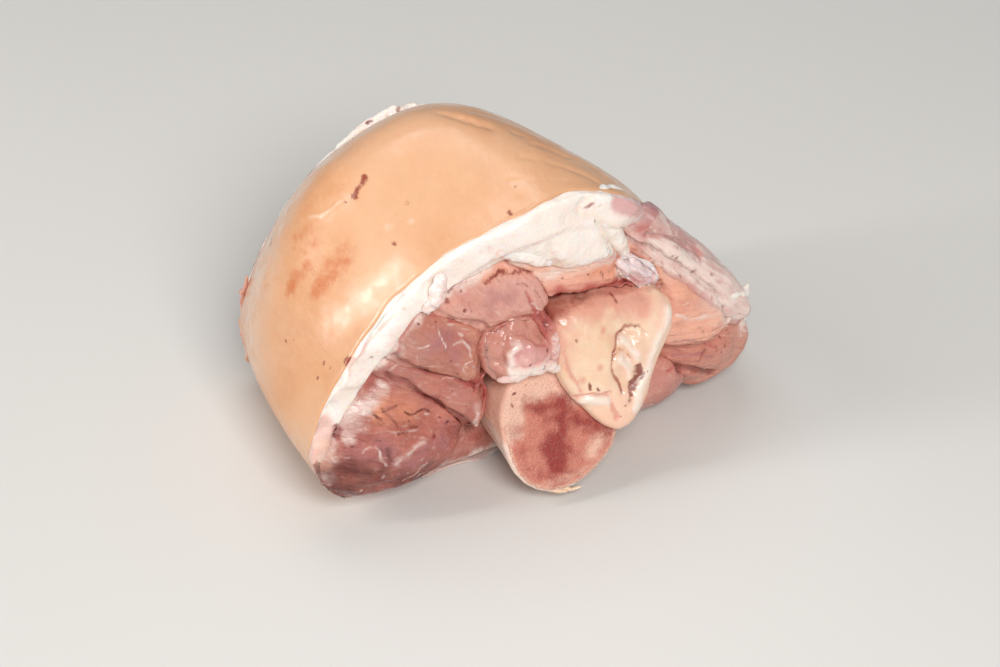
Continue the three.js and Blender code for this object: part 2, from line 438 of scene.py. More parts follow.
def plain(node: bpy.types.Object, leg: LegFrame) -> tuple[np.ndarray, list[list[int]]]:
    """Reads a node's joined solid.

    Args:
        node: the node.
        leg: the leg's frame.

    Returns:
        Its vertices as u, v and w, and its faces as their numbers.
    """
    bm = merged(node)
    places = leg.to_leg(np.array([v.co for v in bm.verts]))
    faces = [[v.index for v in f.verts] for f in bm.faces]
    bm.free()
    return places, faces


def meshed(bm: bmesh.types.BMesh, name: str) -> bpy.types.Mesh:
    """Turns an edited copy into a mesh, and frees it.

    Args:
        bm: the copy.
        name: the mesh's name.

    Returns:
        The mesh.
    """
    mesh = bpy.data.meshes.new(name)
    bm.to_mesh(mesh)
    bm.free()
    return mesh


def put(name: str, data: bpy.types.ID) -> bpy.types.Object:
    """Puts a new object in the scene.

    Args:
        name: its name.
        data: its mesh, light or camera.

    Returns:
        The object.
    """
    thing = bpy.data.objects.new(name, data)
    bpy.context.scene.collection.objects.link(thing)
    return thing


def piece(name: str, mesh: bpy.types.Mesh, node: str | None = None) -> bpy.types.Object:
    """Puts a finished mesh in the scene.

    Args:
        name: the piece's name.
        mesh: its mesh, in the row frame.
        node: the node that it stands for, if any.

    Returns:
        The new object.
    """
    mesh.name = name
    thing = put(name, mesh)
    mesh.shade_smooth()
    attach(thing, "root")
    if node:
        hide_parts(node)
    LOG.info("%s: %d faces", name, len(mesh.polygons))
    return thing


# ---------------------------------------------------------------- finishes
FLECK_SCALE = 420.0
SPECK_SCALE = 700.0
PORE_SCALE = 1300.0
WET_SCALE = 140.0
GRIT_SCALE = 1400.0
DIMPLE_SCALE = 330.0
FIBRE_SHARE, MOTTLE_SHARE = 0.55, 0.45
PATCH_SCALE = 0.45  # the soft patches' scale, against the mottling's
PATCH_COVER = 0.6
PORE_DEPTH = 0.25
PORE_RED = tone(120, 34, 30)
MOIST_IOR = 1.42
SPREAD = (1.0, 0.35, 0.2)  # how far red, green and blue light spread inside the flesh, against its depth


class Wiring:
    """Adds nodes to one tree and links them."""

    def __init__(self, tree: bpy.types.NodeTree) -> None:
        """Works on a tree."""
        self.tree = tree

    def add(self, kind: str, inputs: Mapping[str | int, Value] | None = None, **settings: object) -> bpy.types.Node:
        """Adds a node.

        Args:
            kind: the node's type.
            inputs: a value or a socket for each of its inputs that isn't left alone.
            settings: its own settings.

        Returns:
            The node.
        """
        node = self.tree.nodes.new(kind)
        for key, value in settings.items():
            setattr(node, key, value)
        for key, value in (inputs or {}).items():
            self.feed(node, key, value)
        return node

    def feed(self, node: bpy.types.Node, key: str | int, value: Value) -> None:
        """Fills one input of a node.

        Args:
            node: the node.
            key: the input's name or number.
            value: a socket to link to it, or its plain value.
        """
        if isinstance(value, bpy.types.NodeSocket):
            self.tree.links.new(value, node.inputs[key])
        else:
            node.inputs[key].default_value = value

    def mask(self, tree: bpy.types.NodeTree, inputs: Mapping[str, Value]) -> bpy.types.NodeSocket:
        """Places one of the shared groups.

        Args:
            tree: the group.
            inputs: a value or a socket for each of its inputs.

        Returns:
            The group's mask.
        """
        node = self.add("ShaderNodeGroup", node_tree=tree)
        for key, value in inputs.items():
            self.feed(node, key, value)
        return node.outputs["Mask"]

    def sum(self, operation: str, *values: Value, clamp: bool = False) -> bpy.types.NodeSocket:
        """One step of arithmetic."""
        node = self.add("ShaderNodeMath", dict(enumerate(values)), operation=operation, use_clamp=clamp)
        return node.outputs[0]

    def mix(self, mask: Value, first: Value, second: Value) -> bpy.types.NodeSocket:
        """Two colours mixed by a mask."""
        node = self.add("ShaderNodeMix", {0: mask, 6: first, 7: second}, data_type="RGBA")
        return node.outputs[2]

    def noise(self, vector: Value, scale: Value, detail: float = 2.0, rough: float = 0.5) -> bpy.types.NodeSocket:
        """A noise from 0 to 1."""
        wired = {"Vector": vector, "Scale": scale, "Detail": detail, "Roughness": rough}
        return self.add("ShaderNodeTexNoise", wired).outputs[0]

    def ramp(self, value: Value, low: Value, high: Value, start: float = 0.0, end: float = 1.0) -> bpy.types.NodeSocket:
        """A value eased from one range to another."""
        wired = {0: value, 1: low, 2: high, 3: start, 4: end}
        return self.add("ShaderNodeMapRange", wired, interpolation_type="SMOOTHSTEP").outputs[0]

    def field(self, stain: Stain) -> bpy.types.NodeSocket:
        """A painted field."""
        return self.add("ShaderNodeAttribute", attribute_name=stain.value).outputs["Fac"]


def group(
    name: str, inputs: Mapping[str, float | None]
) -> tuple[bpy.types.NodeTree, Wiring, bpy.types.Node, bpy.types.Node]:
    """Starts a shader node group, whose one output is Mask.

    Args:
        name: the group's name.
        inputs: each input's name and starting value. One without a value is a vector.

    Returns:
        The group, its wiring, and its input and output nodes.
    """
    tree = bpy.data.node_groups.new(name, "ShaderNodeTree")
    for key, value in inputs.items():
        kind = "NodeSocketVector" if value is None else "NodeSocketFloat"
        socket = tree.interface.new_socket(name=key, in_out="INPUT", socket_type=kind)
        if value is not None:
            socket.default_value = value
    tree.interface.new_socket(name="Mask", in_out="OUTPUT", socket_type="NodeSocketFloat")
    wiring = Wiring(tree)
    return tree, wiring, wiring.add("NodeGroupInput"), wiring.add("NodeGroupOutput")


class Effects:
    """The node groups that the materials share, each made once."""

    def __init__(self) -> None:
        """Makes the groups."""
        self.ragged = self.make_ragged()
        self.grain = self.make_grain()
        self.wet = self.make_wet()
        self.sponge = self.make_sponge()

    def make_ragged(self) -> bpy.types.NodeTree:
        """Turns a painted field into a mask with a ragged edge.

        Returns:
            The group, whose output is Mask.
        """
        inputs = {"Vector": None, "Field": 0.0, "Scale": 300.0, "Ragged": 0.3, "Low": 0.4, "High": 0.6}
        tree, w, source, target = group("ragged_edge", inputs)
        fine = w.noise(source.outputs["Vector"], source.outputs["Scale"], 4.0, 0.6)
        moved = w.sum("MULTIPLY", w.sum("SUBTRACT", fine, 0.5), source.outputs["Ragged"])
        value = w.sum("ADD", source.outputs["Field"], moved)
        mask = w.ramp(value, source.outputs["Low"], source.outputs["High"])
        w.tree.links.new(mask, target.inputs["Mask"])
        return tree

    def make_grain(self) -> bpy.types.NodeTree:
        """Fine fibres in coarser bundles, along the first axis of a stretched vector.

        Returns:
            The group, whose output is Mask.
        """
        tree, w, source, target = group("fibre_grain", {"Vector": None, "Scale": 900.0})
        fine = w.noise(source.outputs["Vector"], source.outputs["Scale"], 3.0, 0.65)
        coarse = w.noise(source.outputs["Vector"], w.sum("MULTIPLY", source.outputs["Scale"], 0.22), 2.0, 0.5)
        both = w.sum("ADD", w.sum("MULTIPLY", fine, 0.5), w.sum("MULTIPLY", coarse, 0.5))
        w.tree.links.new(w.ramp(both, 0.32, 0.68), target.inputs["Mask"])
        return tree

    def make_wet(self) -> bpy.types.NodeTree:
        """Where a surface is wetter: patches of gloss with dull spots between.

        Returns:
            The group, whose output is Mask.
        """
        tree, w, source, target = group("wet_gloss", {"Vector": None, "Scale": 120.0})
        patches = w.noise(source.outputs["Vector"], source.outputs["Scale"], 3.0, 0.6)
        w.tree.links.new(w.ramp(patches, 0.35, 0.65), target.inputs["Mask"])
        return tree

    def make_sponge(self) -> bpy.types.NodeTree:
        """The open pores of spongy bone.

        Returns:
            The group, whose output is Mask.
        """
        tree, w, source, target = group("bone_sponge", {"Vector": None, "Scale": 900.0})
        cells = w.add("ShaderNodeTexVoronoi", {"Vector": source.outputs["Vector"], "Scale": source.outputs["Scale"]})
        fine = w.noise(source.outputs["Vector"], w.sum("MULTIPLY", source.outputs["Scale"], 0.6), 3.0, 0.6)
        both = w.sum("ADD", w.sum("MULTIPLY", cells.outputs["Distance"], 0.8), w.sum("MULTIPLY", fine, 0.6))
        w.tree.links.new(w.ramp(both, 0.3, 0.9), target.inputs["Mask"])
        return tree


@dataclass(frozen=True)
class Layer:
    """A coat of colour where a field is painted."""

    stain: Stain
    colour: Colour
    low: float = 0.4
    high: float = 0.6
    ragged: float = 0.3
    scale: float = 350.0
    cover: float = 1.0
    streak: float = 0.0


@dataclass(frozen=True)
class Finish:
    """A moist tissue's finish: two tones mixed by a grain and by soft mottling, with layers over them."""

    name: str
    light: Colour
    dark: Colour
    third: Colour | None = None
    layers: tuple[Layer, ...] = ()
    grain: Point = (0.0, 0.0, 1.0)
    stretch: float = 6.0
    grain_scale: float = 900.0
    mottle_scale: float = 90.0
    roughness: float = 0.38
    gloss: float = 0.14
    coat: float = 0.35
    coat_roughness: float = 0.18
    bump: float = 0.25
    grit: float = 0.12
    subsurface: float = 0.12
    depth: float = 2.0
    sponge: float = 0.0
    dimple: float = 0.3
    fleck: float = 0.0
    fleck_colour: Colour = (0.9, 0.75, 0.68, 1.0)

    def material(self, effects: Effects, leg: LegFrame) -> bpy.types.Material:
        """Makes the material.

        Args:
            effects: the shared node groups.
            leg: the leg's frame, which the grain is given in.

        Returns:
            The material.
        """
        material = bpy.data.materials.new(self.name)
        material.use_nodes = True
        w = Wiring(material.node_tree)
        shader = material.node_tree.nodes["Principled BSDF"]
        places = w.add("ShaderNodeTexCoord").outputs["Object"]
        turn = leg.direction(*self.grain).to_track_quat("X", "Z").to_euler()
        wired = {"Vector": places, "Rotation": tuple(turn), "Scale": (self.stretch, 1.0, 1.0)}
        drawn = w.add("ShaderNodeMapping", wired, vector_type="TEXTURE").outputs[0]

        fibres = w.mask(effects.grain, {"Vector": drawn, "Scale": self.grain_scale})
        mottle = w.ramp(w.noise(places, self.mottle_scale, 3.0, 0.55), 0.35, 0.65)
        blend = w.sum("ADD", w.sum("MULTIPLY", fibres, FIBRE_SHARE), w.sum("MULTIPLY", mottle, MOTTLE_SHARE))
        colour = w.mix(blend, self.dark, self.light)
        if self.third:
            patches = w.ramp(w.noise(places, self.mottle_scale * PATCH_SCALE, 2.0, 0.5), 0.42, 0.66)
            colour = w.mix(w.sum("MULTIPLY", patches, PATCH_COVER), colour, self.third)
        if self.fleck:
            flecks = w.ramp(w.noise(places, FLECK_SCALE, 5.0, 0.75), 0.54, 0.74)
            colour = w.mix(w.sum("MULTIPLY", flecks, self.fleck), colour, self.fleck_colour)
            specks = w.ramp(w.noise(drawn, SPECK_SCALE, 4.0, 0.7), 0.56, 0.76)
            colour = w.mix(w.sum("MULTIPLY", specks, self.fleck), colour, self.dark)
        pores = w.mask(effects.sponge, {"Vector": places, "Scale": PORE_SCALE}) if self.sponge else 0.5
        if self.sponge:
            inside = w.sum("MULTIPLY", w.field(Stain.FACE), self.sponge)
            colour = w.mix(w.sum("MULTIPLY", inside, w.sum("SUBTRACT", 1.0, pores)), colour, PORE_RED)
        for layer in self.layers:
            wired = {"Vector": places, "Field": w.field(layer.stain), "Scale": layer.scale}
            wired |= {"Ragged": layer.ragged, "Low": layer.low, "High": layer.high}
            mask = w.mask(effects.ragged, wired)
            if layer.streak:
                mask = w.sum("MULTIPLY", mask, w.ramp(fibres, 0.15, 0.75, 1 - layer.streak, 1.0))
            colour = w.mix(w.sum("MULTIPLY", mask, layer.cover), colour, layer.colour)

        wet = w.mask(effects.wet, {"Vector": places, "Scale": WET_SCALE})
        fine = w.noise(places, GRIT_SCALE, 2.0, 0.6)
        height = w.sum("ADD", w.sum("MULTIPLY", fibres, self.bump), w.sum("MULTIPLY", fine, self.grit))
        height = w.sum("ADD", height, w.sum("MULTIPLY", w.noise(places, DIMPLE_SCALE, 3.0, 0.6), self.dimple))
        if self.sponge:
            raised = w.sum("MULTIPLY", w.sum("MULTIPLY", pores, w.field(Stain.FACE)), PORE_DEPTH)
            height = w.sum("ADD", height, raised)
        bump = w.add("ShaderNodeBump", {"Strength": 1.0, "Distance": 1.0})
        w.tree.links.new(w.sum("MULTIPLY", height, MILLIMETRE), bump.inputs["Height"])

        w.tree.links.new(colour, shader.inputs["Base Color"])
        rough = w.ramp(wet, 0.0, 1.0, self.roughness + self.gloss, self.roughness - self.gloss)
        w.tree.links.new(rough, shader.inputs["Roughness"])
        damp = w.sum("SUBTRACT", 1.0, w.field(Stain.DULL), clamp=True)
        coat = w.sum("MULTIPLY", w.ramp(wet, 0.0, 1.0, self.coat * 0.4, self.coat), damp)
        w.tree.links.new(coat, shader.inputs["Coat Weight"])
        w.tree.links.new(bump.outputs[0], shader.inputs["Normal"])
        shader.inputs["Coat Roughness"].default_value = self.coat_roughness
        shader.inputs["IOR"].default_value = MOIST_IOR
        shader.inputs["Subsurface Weight"].default_value = self.subsurface
        shader.inputs["Subsurface Radius"].default_value = SPREAD
        shader.inputs["Subsurface Scale"].default_value = self.depth * MILLIMETRE
        return material

    def dress(self, thing: bpy.types.Object, effects: Effects, leg: LegFrame) -> None:
        """Gives a piece this finish."""
        thing.data.materials.append(self.material(effects, leg))


BLOOD = tone(124, 18, 12)
FAT_WHITE = tone(250, 236, 226)

BLOOD_LAYER = Layer(Stain.BLOOD, BLOOD, 0.34, 0.9, 1.1, 700.0, 0.85)
DARK_LAYER = Layer(Stain.DARK, tone(124, 46, 42), 0.15, 1.0, 0.7, 200.0, 0.72)
# the lower left muscle's lower part: its darker red-brown, with painted shade where it faces down
DARK_AND_SHADED_LAYER = Layer(Stain.DARK, tone(92, 26, 20), 0.05, 1.1, 0.9, 170.0, 0.95, 0.35)
RAW_LAYER = Layer(Stain.RAW, tone(186, 72, 68), 0.15, 0.95, 0.6, 220.0, 0.8)
WARM_LAYER = Layer(Stain.WARM, tone(238, 160, 124), 0.15, 1.0, 0.5, 150.0, 0.75, 0.3)
MAUVE_LAYER = Layer(Stain.MAUVE, tone(172, 108, 112), 0.15, 1.0, 0.7, 160.0, 0.75, 0.3)
PALE_LAYER = Layer(Stain.PALE, tone(244, 222, 212), 0.2, 1.0, 1.1, 300.0, 0.9, 0.65)
FILM_LAYER = Layer(Stain.FILM, FAT_WHITE, 0.5, 1.0, 1.2, 130.0, 0.8, 0.4)
# painted shade, dark red, where pieces lie close together, over the joins' own dark
SEAM_SHADE_LAYER = Layer(Stain.SEAM, tone(176, 84, 76), 0.66, 1.1, 0.6, 260.0, 0.45)
MEAT_LAYERS = (FILM_LAYER, RAW_LAYER, WARM_LAYER, MAUVE_LAYER, DARK_LAYER, SEAM_SHADE_LAYER, PALE_LAYER, BLOOD_LAYER)
DARK_AND_SHADED_LAYERS = (FILM_LAYER, RAW_LAYER, WARM_LAYER, MAUVE_LAYER, DARK_AND_SHADED_LAYER, SEAM_SHADE_LAYER, PALE_LAYER, BLOOD_LAYER)
FAT = Finish(
    "fat", tone(255, 248, 242), tone(250, 230, 220), tone(253, 236, 224),
    (
        Layer(Stain.RAW, tone(230, 166, 152), 0.2, 0.8, 0.6, 260.0, 0.6),
        # painted shade, pink, where the fat lies close to other pieces
        Layer(Stain.SEAM, tone(232, 172, 156), 0.6, 1.1, 0.8, 200.0, 0.5),
        Layer(Stain.WARM, tone(246, 208, 176), 0.15, 0.9, 0.4, 150.0, 0.7),
        Layer(Stain.MAUVE, tone(216, 160, 158), 0.2, 0.8, 0.5, 180.0, 0.85),
        Layer(Stain.DARK, tone(150, 84, 66), 0.3, 0.8, 0.4, 300.0, 0.8),
        BLOOD_LAYER,
    ),
    grain=(0.9, 0.4, 0.0), stretch=3.0, grain_scale=300.0, mottle_scale=120.0, roughness=0.3, coat=0.55,
    coat_roughness=0.14, bump=0.14, subsurface=0.25, depth=3.0, dimple=0.5,
)
SKIN = Finish(
    "pork_skin", tone(229, 175, 133), tone(218, 158, 114), tone(231, 184, 147),
    (
        # pale on the skin: painted highlights, with a few pale lines of its own
        Layer(Stain.PALE, tone(242, 208, 184), 0.2, 1.0, 1.2, 330.0, 0.7),
        Layer(Stain.WARM, tone(204, 112, 60), 0.15, 1.2, 1.5, 380.0, 0.8),
        # darker on the skin: painted shade along its folds
        Layer(Stain.DARK, tone(176, 104, 74), 0.2, 0.8, 0.5, 300.0, 0.75),
        Layer(Stain.EDGE, tone(250, 226, 208), 0.3, 0.9, 0.3, 300.0, 0.85),
        Layer(Stain.RAW, tone(190, 84, 66), 0.25, 0.75, 0.5, 300.0, 0.85),
        Layer(Stain.BLOOD, tone(140, 42, 22), 0.34, 0.85, 1.1, 800.0, 0.9),
    ),
    stretch=1.6, grain_scale=520.0, mottle_scale=45.0, roughness=0.34, gloss=0.05, coat=1.0, coat_roughness=0.2,
    bump=0.05, grit=0.035, subsurface=0.15, depth=2.5, dimple=0.1,
)
BONE = Finish(
    "fresh_bone", tone(251, 224, 196), tone(240, 196, 162), tone(250, 200, 178),
    (
        Layer(Stain.RAW, tone(226, 150, 132), 0.15, 1.0, 0.6, 180.0, 0.7),
        Layer(Stain.PALE, tone(250, 232, 218), 0.2, 0.9, 0.7, 250.0, 0.85),
        Layer(Stain.DARK, tone(164, 70, 50), 0.2, 1.0, 1.0, 350.0, 0.8),
        Layer(Stain.WARM, tone(236, 196, 170), 0.2, 0.9, 0.5, 200.0, 0.6),
        Layer(Stain.FACE, tone(178, 92, 76), 0.24, 0.32, 0.08, 300.0, 0.95),
        SEAM_SHADE_LAYER,
        BLOOD_LAYER,
    ),
    stretch=2.0, grain_scale=300.0, mottle_scale=70.0, roughness=0.28, coat=0.55, bump=0.08, grit=0.06,
    subsurface=0.2, depth=2.5,
)
MARROW = Finish(
    "sawn_marrow", tone(236, 204, 186), tone(220, 182, 164), tone(244, 222, 208),
    (
        Layer(Stain.FACE, tone(212, 128, 108), 0.3, 0.7, 0.2, 300.0, 0.95),
        Layer(Stain.PALE, tone(240, 192, 170), 0.2, 0.9, 0.9, 180.0, 1.0),
        Layer(Stain.DARK, tone(152, 48, 44), 0.15, 1.05, 1.4, 200.0, 0.9),
        Layer(Stain.EDGE, tone(242, 204, 180), 0.74, 0.95, 0.2, 300.0, 0.85),
        SEAM_SHADE_LAYER,
        BLOOD_LAYER,
    ),
    stretch=2.0, grain_scale=420.0, mottle_scale=110.0, roughness=0.3, coat=0.5, bump=0.1, subsurface=0.15,
    sponge=0.2,
)
GRISTLE = Finish(
    "gristle", tone(238, 192, 182), tone(222, 158, 150), tone(240, 206, 200),
    (
        Layer(Stain.MAUVE, tone(206, 140, 138), 0.2, 1.0, 0.5, 200.0, 0.75),
        Layer(Stain.RAW, tone(200, 100, 92), 0.2, 1.0, 0.6, 200.0, 0.75),
        Layer(Stain.PALE, tone(248, 230, 220), 0.15, 0.9, 0.7, 250.0, 0.9),
        Layer(Stain.WARM, tone(210, 146, 130), 0.15, 0.9, 0.6, 200.0, 0.95),
        SEAM_SHADE_LAYER,
        BLOOD_LAYER,
    ),
    stretch=5.0, grain_scale=700.0, roughness=0.24, coat=0.6, bump=0.15, subsurface=0.3, depth=3.0,
)
GLAND = Finish(
    "gland", tone(252, 240, 236), tone(238, 206, 198), tone(246, 224, 216),
    (
        Layer(Stain.RAW, tone(206, 120, 110), 0.2, 1.0, 0.6, 200.0, 0.7),
        Layer(Stain.DARK, tone(150, 84, 66), 0.3, 0.8, 0.4, 300.0, 0.6),
        BLOOD_LAYER,
    ),
    mottle_scale=200.0, roughness=0.18, coat=1.0, coat_roughness=0.08, bump=0.2, subsurface=0.3, depth=2.0,
)
JOINT = Finish(
    "joint_flesh", tone(230, 152, 138), tone(196, 96, 86), tone(236, 176, 160),
    (
        Layer(Stain.RAW, tone(186, 72, 68), 0.15, 0.95, 0.6, 220.0, 0.6),
        Layer(Stain.DARK, tone(140, 36, 36), 0.15, 1.0, 0.7, 200.0, 0.8),
        PALE_LAYER,
        BLOOD_LAYER,
    ),
    roughness=0.3, coat=0.6, subsurface=0.2,
)
TORN = Finish(
    "torn_rim", tone(238, 190, 164), tone(208, 130, 100), tone(242, 214, 198),
    (Layer(Stain.RAW, tone(204, 112, 84), 0.15, 0.95, 0.6, 220.0, 0.7), BLOOD_LAYER),
    mottle_scale=220.0, roughness=0.26, coat=0.7,
)
TENDON = Finish(
    "tendon", tone(252, 238, 236), tone(238, 212, 212), tone(248, 230, 232),
    (
        Layer(Stain.RAW, tone(206, 112, 102), 0.2, 1.0, 0.6, 200.0, 0.6),
        Layer(Stain.PALE, tone(252, 242, 240), 0.2, 0.9, 0.5, 250.0, 0.8),
        BLOOD_LAYER,
    ),
    grain=(0.7, -0.7, 0.0), stretch=8.0, grain_scale=900.0, roughness=0.24, coat=0.6, bump=0.25, subsurface=0.25,
    depth=2.0,
)


# ---------------------------------------------------------------- marks over the near cut, in the leg's frame
SEAM_MARKS = (
    Mark(
        ((-47, 13), (-42, 9), (-37, 3), (-31, -3), (-25, -9), (-21, -15), (-16, -26)), 1.2, -1.4, Stain.DARK, 0.95,
    ),
    Mark(((-45, 21), (-38, 15), (-31, 9), (-24, 5), (-18, 1)), 0.8, -0.9, Stain.DARK, 0.8),
    Mark(((-35, 35), (-39, 32), (-43, 27), (-45, 21)), 0.7, -0.5, Stain.RAW, 0.8),
    Mark(((-35, 38), (-27, 31), (-22, 27), (-17, 24)), 0.7, -0.8, Stain.DARK, 0.6),
    Mark(((-22, 28), (-18, 26), (-13, 22)), 0.7, -0.8, Stain.DARK, 0.75),
    Mark(((0, 31), (2, 26), (6, 18)), 0.7, -0.6, Stain.RAW, 0.8),
    Mark(((-30, 20), (-24, 14), (-19, 9)), 0.5, -0.3, Stain.MAUVE, 0.8),
)
LOWER_LEFT_MARKS = (
    Mark(((-62, -5), (-59, -1), (-55, 3), (-49, 6)), 2.4, 0.4, Stain.PALE, 1.1),
    Mark(((-75, -14), (-73, -6), (-68, -1), (-63, 3)), 2.2, 0.0, Stain.PALE, 0.9),
    Mark(((-69, -8), (-71, -14)), 3.0, 0.0, Stain.WARM, 0.8),
    Mark(((-53, 0), (-48, 1), (-41, -2)), 5.0, 0.0, Stain.WARM, 0.75),
    Mark(((-50, 0), (-47, 0.5), (-45, 1)), 0.35, -0.35, Stain.DARK, 0.85),
    Mark(((-43, -2), (-39, -4), (-36, -5), (-34.5, -6.5)), 0.35, -0.35, Stain.DARK, 0.85),
    Mark(((-42, -7), (-39, -8)), 0.35, -0.3, Stain.DARK, 0.8),
    Mark(((-47, -7), (-43, -8)), 0.35, -0.3, Stain.DARK, 0.8),
    Mark(((-56, 1), (-51, -2)), 0.35, -0.3, Stain.DARK, 0.8),
    *dots(Stain.DARK, 0.5, (-42, -5), (-28, -13), (-64, -8), (-62, -8.5), strength=1.2),
    Mark(((-54, -9), (-51, -12), (-49, -16)), 2.8, -0.5, Stain.MAUVE, 1.0),
    Mark(((-51, -12), (-50, -16)), 1.2, -0.4, Stain.DARK, 0.9),
    Mark(((-55, -10), (-53.5, -14), (-52, -17)), 0.5, 0.5, Stain.PALE, 0.9),
    Mark(((-48, -18), (-46, -15.5), (-42, -14.5), (-38, -14)), 1.5, 0.4, Stain.PALE, 0.7),
    Mark(((-58, -4), (-50, -5.5), (-39, -9)), 0.4, 0.2, Stain.PALE, 0.7),
    Mark(((-65, -1), (-66, -5)), 1.1, -0.35, Stain.BLOOD, 1.0),
    *dots(Stain.BLOOD, 1.0, (-34, -14), depth=-0.5),
    Mark(((-66, -8), (-61, -10), (-55, -15)), 4.5, 0.0, Stain.MAUVE, 0.6),
    Mark(((-42, -20), (-36, -17), (-30, -17)), 5.0, 0.0, Stain.MAUVE, 0.9),
    # painted shade over the muscle's lower part, which faces down, on its darker tissue
    Mark(((-67, -17), (-61, -19), (-55, -20)), 6.5, 0.0, Stain.DARK, 1.0),
    Mark(((-69, -25), (-62, -28), (-55, -29)), 6.0, 0.0, Stain.DARK, 0.95),
    Mark(((-51, -27), (-44, -30), (-36, -30)), 5.5, 0.0, Stain.DARK, 0.85),
    *dots(Stain.DARK, 4.0, (-58, -14), (-47, -22), (-39, -24), strength=0.5),
    *dots(
        Stain.PALE, 0.6, (-35, -18), (-39, -20), (-50, -29), (-53, -22), (-44, -25), (-60, -27), depth=0.2,
        strength=0.9,
    ),
    Mark(((-45, -29), (-41, -27), (-38, -23)), 0.4, 0.3, Stain.PALE, 0.8),
)
TOP_MARKS = (
    *dots(Stain.BLOOD, 1.0, (-26, 39), (-24.5, 40.5), (-28, 38), (-27, 36.5), depth=-0.2, strength=1.1),
    *dots(
        Stain.BLOOD, 0.6, (-29.5, 40), (-22, 38.5), (-22, 32), (-30, 36), (-37, 31), (-31, 30), (-26, 10),
        (-28, 16), (-22, 8),
    ),
    Mark(((-14, 39), (-8, 40), (-2, 37.5), (4, 36)), 0.9, -0.2, Stain.BLOOD, 0.75),
    Mark(((-14, 40), (-8, 41), (0, 38), (8, 36)), 2.4, 0.0, Stain.WARM, 0.8),
    *dots(Stain.BLOOD, 1.4, (-15, 5), (-18, 0), (-12, -4), (-16, -3), depth=-0.4),
    Mark(((-20, 3), (-14, -1), (-12, -8)), 3.0, -0.3, Stain.RAW, 1.0),
    Mark(((-29, 22), (-26, 18)), 6.0, 0.0, Stain.MAUVE, 0.8),
    Mark(((-14, 33), (-6, 30)), 5.0, 0.0, Stain.MAUVE, 0.6),
    Mark(((-26, 21), (-23, 20.5), (-21, 18), (-21, 14)), 0.4, 0.4, Stain.PALE, 0.8),
    Mark(((-31, 48), (-32, 43), (-34, 39)), 2.3, 1.3, Stain.PALE, 1.0),
    Mark(((-29.5, 46), (-34, 44)), 0.5, -0.5),
    Mark(((-30, 43), (-35, 41.5)), 0.5, -0.5),
    Mark(((-18, -7), (-19, -12), (-18, -17)), 1.3, 0.6, Stain.PALE, 1.1),
    Mark(((12, 37), (23, 31), (34, 25)), 3.5, 0.0, Stain.WARM, 0.6),
    Mark(((39, 30), (50, 20), (60, 8)), 4.0, 0.0, Stain.WARM, 0.5),
    # the crevice above the shank bone: pressed in, and painted dark, partly its own red and partly painted shade
    Mark(
        ((5, 14), (8, 20), (12, 23), (17, 21.5), (25, 20), (35, 17), (43, 15), (50, 12.5)), 1.5, -2.2, Stain.DARK,
        1.15,
    ),
    Mark(((7, 16), (9, 21), (14, 23)), 2.2, -0.8, Stain.BLOOD, 0.9),
    Mark(((12, 26), (25, 23), (36, 20), (46, 16)), 2.2, 0.5, Stain.RAW, 0.9),
    *dots(Stain.BLOOD, 0.8, (37, 28), (51, 15), (48, 13), (33, 15), depth=-0.3),
    *dots(Stain.BLOOD, 0.5, (23, 29), (14, 30), (30, 27)),
    Mark(((36, 29), (35, 26), (37, 22)), 1.2, 0.5, Stain.PALE, 1.0),
)
FLANK_MARKS = (
    Mark(((20, 56, 1), (24, 56.5, 2), (28, 55, 3)), 0.8, -0.9, Stain.DARK, 0.9),
    Mark(((20, 56), (25, 51), (29, 44), (34, 35), (37, 29)), 1.8, -1.3, Stain.WARM, 0.5),
    Mark(((25, 55), (30, 48), (36, 39)), 2.2, 0.6, Stain.WARM, 0.35),
    Mark(
        ((37, 38), (43, 32), (49, 27), (54, 23), (59, 18), (64, 12), (67, 9), (71, 3), (75, -7)), 0.6, -1.3,
        Stain.DARK, 1.0,
    ),
    Mark(((41, 35), (46, 31), (52, 27.5), (57, 23), (62, 18)), 1.8, 0.3, Stain.PALE, 1.1),
    Mark(((50, 33), (60, 24), (68, 14), (75, 3), (80, -6)), 4.2, 0.0, Stain.PALE, 2.2),
    Mark(((84, 0), (86, -8), (86, -18)), 3.0, 0.0, Stain.PALE, 1.2),
    Mark(((38, 35), (46, 26), (56, 17)), 1.5, 0.2, Stain.PALE, 0.8),
    Mark(((46, 35.5), (52, 33), (58, 28.5), (63, 23), (66, 18)), 1.6, -1.2, Stain.RAW, 1.5),
    Mark(((45, 35.5), (51, 32.5), (57, 28.5), (62, 23.5)), 0.45, -0.7, Stain.DARK, 1.0),
    Mark(((33, 54), (38, 50), (43, 46)), 2.6, 0.0, Stain.MAUVE, 1.0),
    Mark(((44, 47), (51, 41), (58, 33), (64, 26)), 4.0, 0.0, Stain.MAUVE, 1.1),
    Mark(((38, 43), (43, 39)), 2.6, 0.0, Stain.RAW, 0.7),
    Mark(((26, 57, 3), (31, 55.5, 2), (35, 53.5, 2)), 0.4, -0.3, Stain.DARK, 0.7),
    *dots(Stain.BLOOD, 0.9, (54, 25), (56, 23.5), depth=-0.2),
    *dots(Stain.BLOOD, 0.6, (69, 12), (62, 15)),
    Mark(((54, 3), (58, 0), (63, -2), (70, -3)), 0.8, -0.6, Stain.PALE, 0.75),
    *dots(Stain.BLOOD, 0.6, (71, -19), (74, -17), (75, -19), (73, -21), (77, -16)),
    Mark(((58, -14), (60, -13.5), (62, -14)), 0.5, -0.2, Stain.BLOOD, 0.8),
    Mark(((66, -8), (70, -8.5)), 0.4, -0.2, Stain.BLOOD, 0.7),
    Mark(((54, -8), (62, -11), (70, -12)), 0.6, -0.3, Stain.MAUVE, 0.9),
    Mark(((56, -18), (64, -19), (69, -22)), 0.6, -0.3, Stain.MAUVE, 0.9),
    Mark(((57, -23), (63, -25), (71, -31)), 1.3, -1.4, Stain.DARK, 1.0),
)
